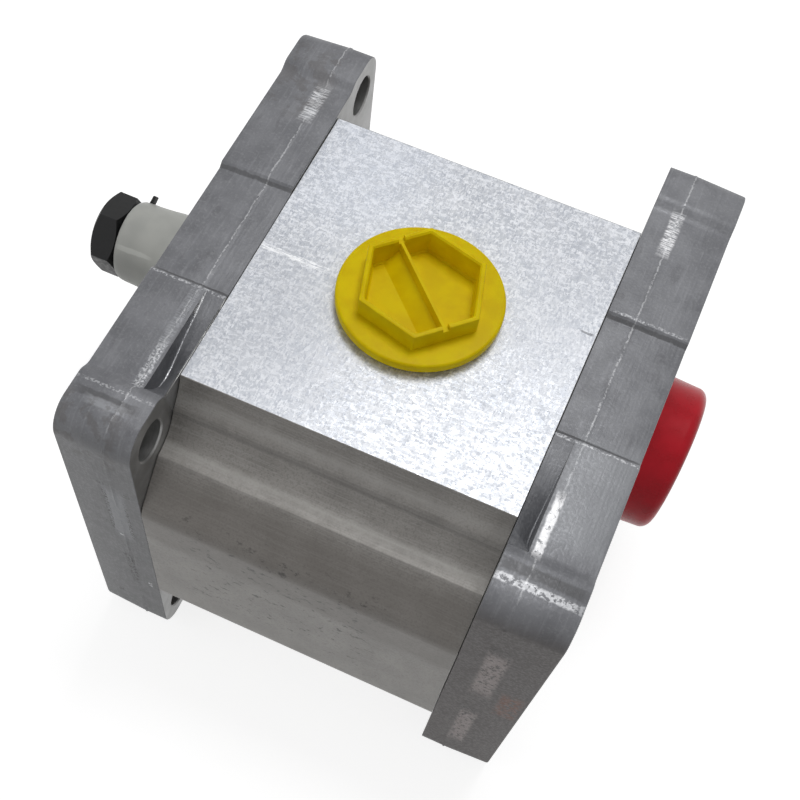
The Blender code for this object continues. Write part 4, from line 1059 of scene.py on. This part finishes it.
def make_body():
    start = BODY_LOW.x - JOINT_FILL
    length = BODY_HIGH.x + JOINT_FILL - start
    outline = body_outline()
    edge = 0.0001
    rings = [at_height(inset(outline, depth), height) for height, depth in (
        (0, edge), (edge, 0), (length - edge, 0), (length, edge))]
    body = loft("pump_body_skin", rings, lying(start), DRAWN)
    chamber = [at_height(chamber_outline(), height) for height in (-OVERRUN, length + OVERRUN)]
    combine(body, loft("chamber", chamber, lying(BODY_LOW.x), MACHINED))
    cut_port(body, INLET_RADIUS, INLET_DEPTH, True)
    cut_port(body, OUTLET_RADIUS, OUTLET_DEPTH, False)
    cut_screw_holes(body, BODY_LOW.x, [(SCREW_HOLE_RADIUS, length + OVERRUN, -OVERRUN)])
    for face_x, inward in ((BODY_LOW.x, 1), (BODY_HIGH.x, -1)):
        cut_dowel_holes(body, face_x)
        cut_seal_groove(body, face_x, inward)
    machine_ends(body)
    finish_faces(body, PORT_FACE, lambda face: abs(face.normal.z) > 0.99
                 and abs(abs(face.center.z - MIDDLE_Z) - PORT_TOP + MIDDLE_Z) < 0.0001)
    settle(body, "pump_body", "housing")


def make_inlet_plug():
    """A flange and a hollow hexagon, with a web and its ramp across the hollow."""
    place = Matrix.Translation((PORT_MIDDLE.x, PORT_MIDDLE.y, PORT_TOP + SEAT_GAP))
    stem = INLET_RADIUS - STEM_SLACK
    plug = turned("inlet_plug_body", [
        (0, PLUG_FLANGE),
        *rounded_edge(PLUG_FLANGE_RADIUS, PLUG_FLANGE, 0.0006, 6),
        (PLUG_FLANGE_RADIUS, PLUG_UNDERCUT + 0.0003),
        (PLUG_FLANGE_RADIUS - 0.0003, PLUG_UNDERCUT),
        (PLUG_FLANGE_RADIUS - PLUG_UNDERCUT, PLUG_UNDERCUT),
        (PLUG_FLANGE_RADIUS - PLUG_UNDERCUT, 0),
        *threaded(stem - STEM_THREAD, stem, -PLUG_STEM, 0),
        (stem - STEM_TIP, -PLUG_STEM), (0, -PLUG_STEM),
    ], place, YELLOW_PLASTIC)
    outer = hexagon(PLUG_HEX_CORNER, PLUG_HEX_TURN)
    rim = 0.00035
    combine(plug, loft("hexagon", [
        at_height(outer, PLUG_FLANGE / 2),
        at_height(outer, PLUG_HEX_TOP - rim),
        at_height(inset(outer, rim * 0.3), PLUG_HEX_TOP - rim * 0.3),
        at_height(inset(outer, rim), PLUG_HEX_TOP),
    ], place, YELLOW_PLASTIC), "UNION")
    inner_corner = PLUG_HEX_CORNER - PLUG_HEX_WALL / math.cos(math.pi / 6)
    combine(plug, loft("hollow", [
        at_height(hexagon(inner_corner - 0.0005, PLUG_HEX_TURN), PLUG_FLOOR),
        at_height(hexagon(inner_corner - 0.0002, PLUG_HEX_TURN), PLUG_FLOOR + 0.0004),
        at_height(hexagon(inner_corner, PLUG_HEX_TURN), PLUG_HEX_TOP - rim),
        at_height(hexagon(inner_corner + rim, PLUG_HEX_TURN), PLUG_HEX_TOP),
        at_height(hexagon(inner_corner + rim, PLUG_HEX_TURN), PLUG_HEX_TOP + OVERRUN),
    ], place, YELLOW_PLASTIC))
    reach = PLUG_HEX_CORNER * math.cos(math.pi / 6) - PLUG_HEX_WALL / 2
    turn = Matrix.Rotation(PLUG_HEX_TURN - math.pi / 6, 4, "Z")
    top = PLUG_HEX_TOP - PLUG_WEB_SINK
    section = [(-0.0038, PLUG_FLOOR - 0.0001), (0.0009, PLUG_FLOOR - 0.0001), (0.00055, PLUG_FLOOR + 0.0006),
               (0.0003, top), (-0.0003, top), (-0.0005, PLUG_FLOOR + 0.0022)]
    rings = [[(x, b, c) for b, c in section] for x in (-reach, reach)]
    combine(plug, loft("web_and_ramp", rings, place @ turn, YELLOW_PLASTIC), "UNION")
    for side in (-1, 1):
        ends = sorted((side * (reach - 0.0009), side * (reach + OVERRUN)))
        notch = block("notch", (ends[0], -0.0007, top), (ends[1], 0.0007, PLUG_HEX_TOP + OVERRUN),
                      place @ turn, YELLOW_PLASTIC)
        combine(plug, notch)
    settle(plug, "inlet_plug", "inlet_plug")


def make_outlet_plug():
    place = Matrix.Translation((PORT_MIDDLE.x, PORT_MIDDLE.y, BODY_LOW.z - SEAT_GAP))
    stem = OUTLET_RADIUS - STEM_SLACK
    threads = [(radius, -height) for radius, height in threaded(stem - STEM_THREAD, stem, -PLUG_STEM, 0)]
    edge = 0.0004
    plug = turned("outlet_plug_body", [
        (0, -OUTLET_FLANGE), (OUTLET_FLANGE_RADIUS - edge, -OUTLET_FLANGE),
        (OUTLET_FLANGE_RADIUS - edge * 0.3, -OUTLET_FLANGE + edge * 0.3),
        (OUTLET_FLANGE_RADIUS, -OUTLET_FLANGE + edge), (OUTLET_FLANGE_RADIUS, 0),
        *threads,
        (stem - STEM_TIP, PLUG_STEM), (0, PLUG_STEM),
    ], place, YELLOW_PLASTIC)
    half = OUTLET_RADIUS - 0.002
    slot = block("slot", (-half, -OUTLET_SLOT / 2, -OUTLET_FLANGE - OVERRUN),
                 (half, OUTLET_SLOT / 2, -OUTLET_FLANGE + OUTLET_SLOT), place, YELLOW_PLASTIC)
    combine(plug, slot)
    settle(plug, "outlet_plug", "housing")


def make_cap():
    radius = 0.01665
    lip = CAP_HIGH.y - AXIS_Y
    base = 0.01715
    wall = 0.0016
    top = CAP_HIGH.x - CAP_LOW.x
    corner = 0.0024
    bend = rounded_edge(radius, top, corner, 8)
    hollow = [(r - wall, h - wall) for r, h in reversed(bend)]
    cap = turned("rear_cap_shell", [
        (0, top),
        *bend,
        (base, 0.003), (base + 0.0001, 0.0028), (lip, 0.0024), (lip, 0.0006),
        (lip - 0.0002, 0.0002), (lip - 0.0006, 0), (base - wall, 0),
        *hollow,
        (0, top - wall),
    ], lying(CAP_LOW.x, AXIS_Y), RED_PLASTIC, steps=128)
    settle(cap, "rear_cap", "rear_cap", 40)


def make_nut():
    """A chamfered hexagon nut with a turned bore."""
    height = NUT_HIGH.x - NUT_LOW.x
    flat = NUT_CORNER * math.cos(math.pi / 6)
    outline = hexagon(NUT_CORNER, NUT_TURN, 0.0004)
    rings = [at_height(outline, level) for level in (0, height)]
    nut = loft("shaft_nut_body", rings, lying(NUT_LOW.x, AXIS_Y), BLACK_STEEL)
    side = NUT_CORNER + OVERRUN
    rim = flat - 0.0004
    for face, inward in ((0, 1), (height, -1)):
        combine(nut, turned("chamfer", [
            (rim, face - inward * OVERRUN), (rim, face),
            (side, face + inward * (side - rim) * NUT_CHAMFER_SLOPE), (side, face - inward * OVERRUN),
        ], lying(NUT_LOW.x, AXIS_Y), BLACK_STEEL, ring=True))
    chamfered_bore(nut, "nut_bore", THREAD_RADIUS, height, 0.0008, lying(NUT_LOW.x, AXIS_Y), BLACK_STEEL)
    settle(nut, "shaft_nut", "drive_shaft")


def make_washer():
    outer = (WASHER_HIGH.y - WASHER_LOW.y) / 2
    thickness = WASHER_HIGH.x - WASHER_LOW.x
    edge = 0.0002
    washer = turned("shaft_washer_ring", [
        (THREAD_RADIUS, 0), (outer - edge, 0), (outer, edge), (outer, thickness - edge),
        (outer - edge, thickness), (THREAD_RADIUS, thickness),
    ], lying(WASHER_LOW.x, AXIS_Y), STEEL, ring=True)
    settle(washer, "shaft_washer", "drive_shaft")


def key_frame():
    """Local X along the shaft from the sleeve's mouth, local Y out along the key."""
    turn = Matrix.Rotation(KEY_ANGLE, 4, "X")
    return Matrix.Translation((SLEEVE_LOW.x, AXIS_Y, MIDDLE_Z)) @ turn


def make_sleeve():
    length = SLEEVE_HIGH.x - SLEEVE_LOW.x
    outside = [(radius, height) for height, radius in SLEEVE_PROFILE] + [(SLEEVE_PROFILE[-1][1], length)]
    inside = [(radius - SLEEVE_WALL, height) for radius, height in outside[4:]]
    sleeve = turned("shaft_sleeve_shell", [
        *outside,
        *inside[::-1],
        (SLEEVE_MOUTH, 0),
    ], lying(SLEEVE_LOW.x, AXIS_Y), WHITE_PLASTIC, steps=128, ring=True)
    slit = block("slit", (SPUR_PLACE - 0.0007, 0.006, -0.0011), (SPUR_PLACE + 0.0011, 0.014, 0.0011),
                 key_frame(), WHITE_PLASTIC)
    combine(sleeve, slit)
    settle(sleeve, "shaft_sleeve", "drive_shaft")


def make_key():
    """A half disc in the shaft, with the spur that stands out of the sleeve."""
    arc = [(KEY_PLACE + KEY_RADIUS * math.cos(a), KEY_TOP - KEY_RADIUS * math.sin(a))
           for a in [math.pi * k / 32 for k in range(33)]]
    half = KEY_WIDTH / 2
    key = loft("key_disc", [at_height(arc, -half), at_height(arc, half)], key_frame(), BLACK_STEEL)
    spur = [
        (SPUR_PLACE - 0.0006, KEY_TOP - 0.001, 0),
        (SPUR_PLACE + 0.0004, KEY_TOP - 0.001, 0),
        (SPUR_PLACE + 0.0010, SPUR_TOP, 0.0003),
        (SPUR_PLACE + 0.0003, SPUR_TOP - 0.0001, 0.0003),
    ]
    rings = [at_height(rounded(spur, per_turn=32), height) for height in (-0.0009, 0.0009)]
    combine(key, loft("spur", rings, key_frame(), BLACK_STEEL), "UNION")
    settle(key, "woodruff_key", "drive_shaft")


def make_screw(where):
    """A socket head screw and the washer under its head."""
    name = f"screw_{where}"
    low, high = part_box(name)
    middle = (low + high) / 2
    length = high.x - low.x
    radius = (high.y - low.y) / 2
    seat = length - SCREW_HEAD
    matrix = Matrix.Translation((low.x, middle.y, middle.z)) @ LYING
    screw = turned(f"{name}_body", [
        (0, length),
        *rounded_edge(radius, length, SCREW_EDGE, 4),
        (radius, seat + 0.0002), (radius - 0.0002, seat), (SCREW_RADIUS, seat),
        (SCREW_RADIUS, 0.0008), (SCREW_RADIUS - 0.0008, 0), (0, 0),
    ], matrix, STEEL, steps=64)
    socket = hexagon(SOCKET_CORNER, 0, 0.0002)
    mouth = hexagon(SOCKET_CORNER + 0.0004, 0, 0.0002)
    combine(screw, loft("socket", [
        at_height(inset(socket, 0.0012), length - SOCKET_DEPTH - 0.0006),
        at_height(socket, length - SOCKET_DEPTH),
        at_height(socket, length - 0.0004),
        at_height(mouth, length),
        at_height(mouth, length + OVERRUN),
    ], matrix, STEEL))
    low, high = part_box(f"screw_washer_{where}")
    outer = (high.y - low.y) / 2
    inner = SCREW_RADIUS + SEAT_GAP
    thickness = high.x - low.x
    edge = 0.0002
    washer = turned(f"{name}_washer_ring", [
        (inner, 0), (outer, 0), (outer, thickness - edge), (outer - edge, thickness), (inner, thickness),
    ], Matrix.Translation((low.x, middle.y, middle.z)) @ LYING, STEEL, steps=64, ring=True)
    settle(screw, name, "housing")
    settle(washer, f"screw_washer_{where}", "housing")


def make_shaft_seal():
    """A lip seal: a steel-backed rim, a web and a lip with an edge on the shaft."""
    outer = (SEAL_HIGH.y - SEAL_LOW.y) / 2
    length = SEAL_HIGH.x - SEAL_LOW.x
    edge = 0.0003
    seal = turned("shaft_seal_ring", [
        (outer, length), (outer, edge), (outer - edge, 0), (outer - SEAL_RIM, 0),
        (outer - SEAL_RIM - 0.0004, edge), (SEAL_BORE + SEAL_WALL + 2 * edge, edge),
        (SEAL_BORE + SEAL_WALL, 0), (SEAL_BORE + 0.0004, 0.0016), (SEAL_BORE, 0.0042),
        (SEAL_BORE + SEAL_WALL, 0.00595), (SEAL_BORE + 0.0018, SEAL_WALL),
        (outer - SEAL_WALL, SEAL_WALL), (outer - SEAL_WALL, length),
    ], lying(SEAL_LOW.x, AXIS_Y), RUBBER, ring=True)
    settle(seal, "shaft_seal", "housing")


def make_retaining_ring():
    """An open ring with an eye near each end for the pliers."""
    outer = (RING_HIGH.z - RING_LOW.z) / 2
    inner = outer - RING_RADIAL
    steps = 96
    angles = [RING_OPENING / 2 + (2 * math.pi - RING_OPENING) * k / steps for k in range(steps + 1)]
    outline = [(outer * math.cos(a), outer * math.sin(a)) for a in angles]
    outline += [(inner * math.cos(a), inner * math.sin(a)) for a in reversed(angles)]
    thickness = RING_HIGH.x - RING_LOW.x
    matrix = lying(RING_LOW.x, AXIS_Y)
    ring = loft("retaining_ring_body", [at_height(outline, 0), at_height(outline, thickness)], matrix, STEEL)
    middle = (outer + inner) / 2
    for side in (-1, 1):
        angle = side * (RING_OPENING / 2 + 0.12)
        eye = matrix @ Matrix.Translation((middle * math.cos(angle), middle * math.sin(angle), 0))
        bore(ring, "eye", [(EYE_RADIUS, -OVERRUN, OVERRUN)], eye, STEEL, 24)
    settle(ring, "retaining_ring", "housing")


make_nut()
make_washer()
make_sleeve()
make_key()
make_shaft_seal()
make_retaining_ring()
for ending, _, _ in corner_places(SCREW_Y, SCREW_Z):
    make_screw(ending)
make_front_cover()
make_rear_cover()
make_body()
make_inlet_plug()
make_outlet_plug()
make_cap()

# The nodes that stay get a finish by the last word of their name, and steel otherwise
NODE_FINISHES = {
    "block": (MACHINED, "drawn_aluminium"),
    "bearing": (BRONZE, "bearing_bronze"),
    "seal": (RUBBER, "seal_rubber"),
}
for name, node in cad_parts.items():
    if not node.hide_render:
        finish, slot = NODE_FINISHES.get(name.split("_")[-1], (STEEL, "steel"))
        node.data.materials.clear()
        node.data.materials.append(finish)

bpy.context.scene.view_settings.view_transform = "Standard"
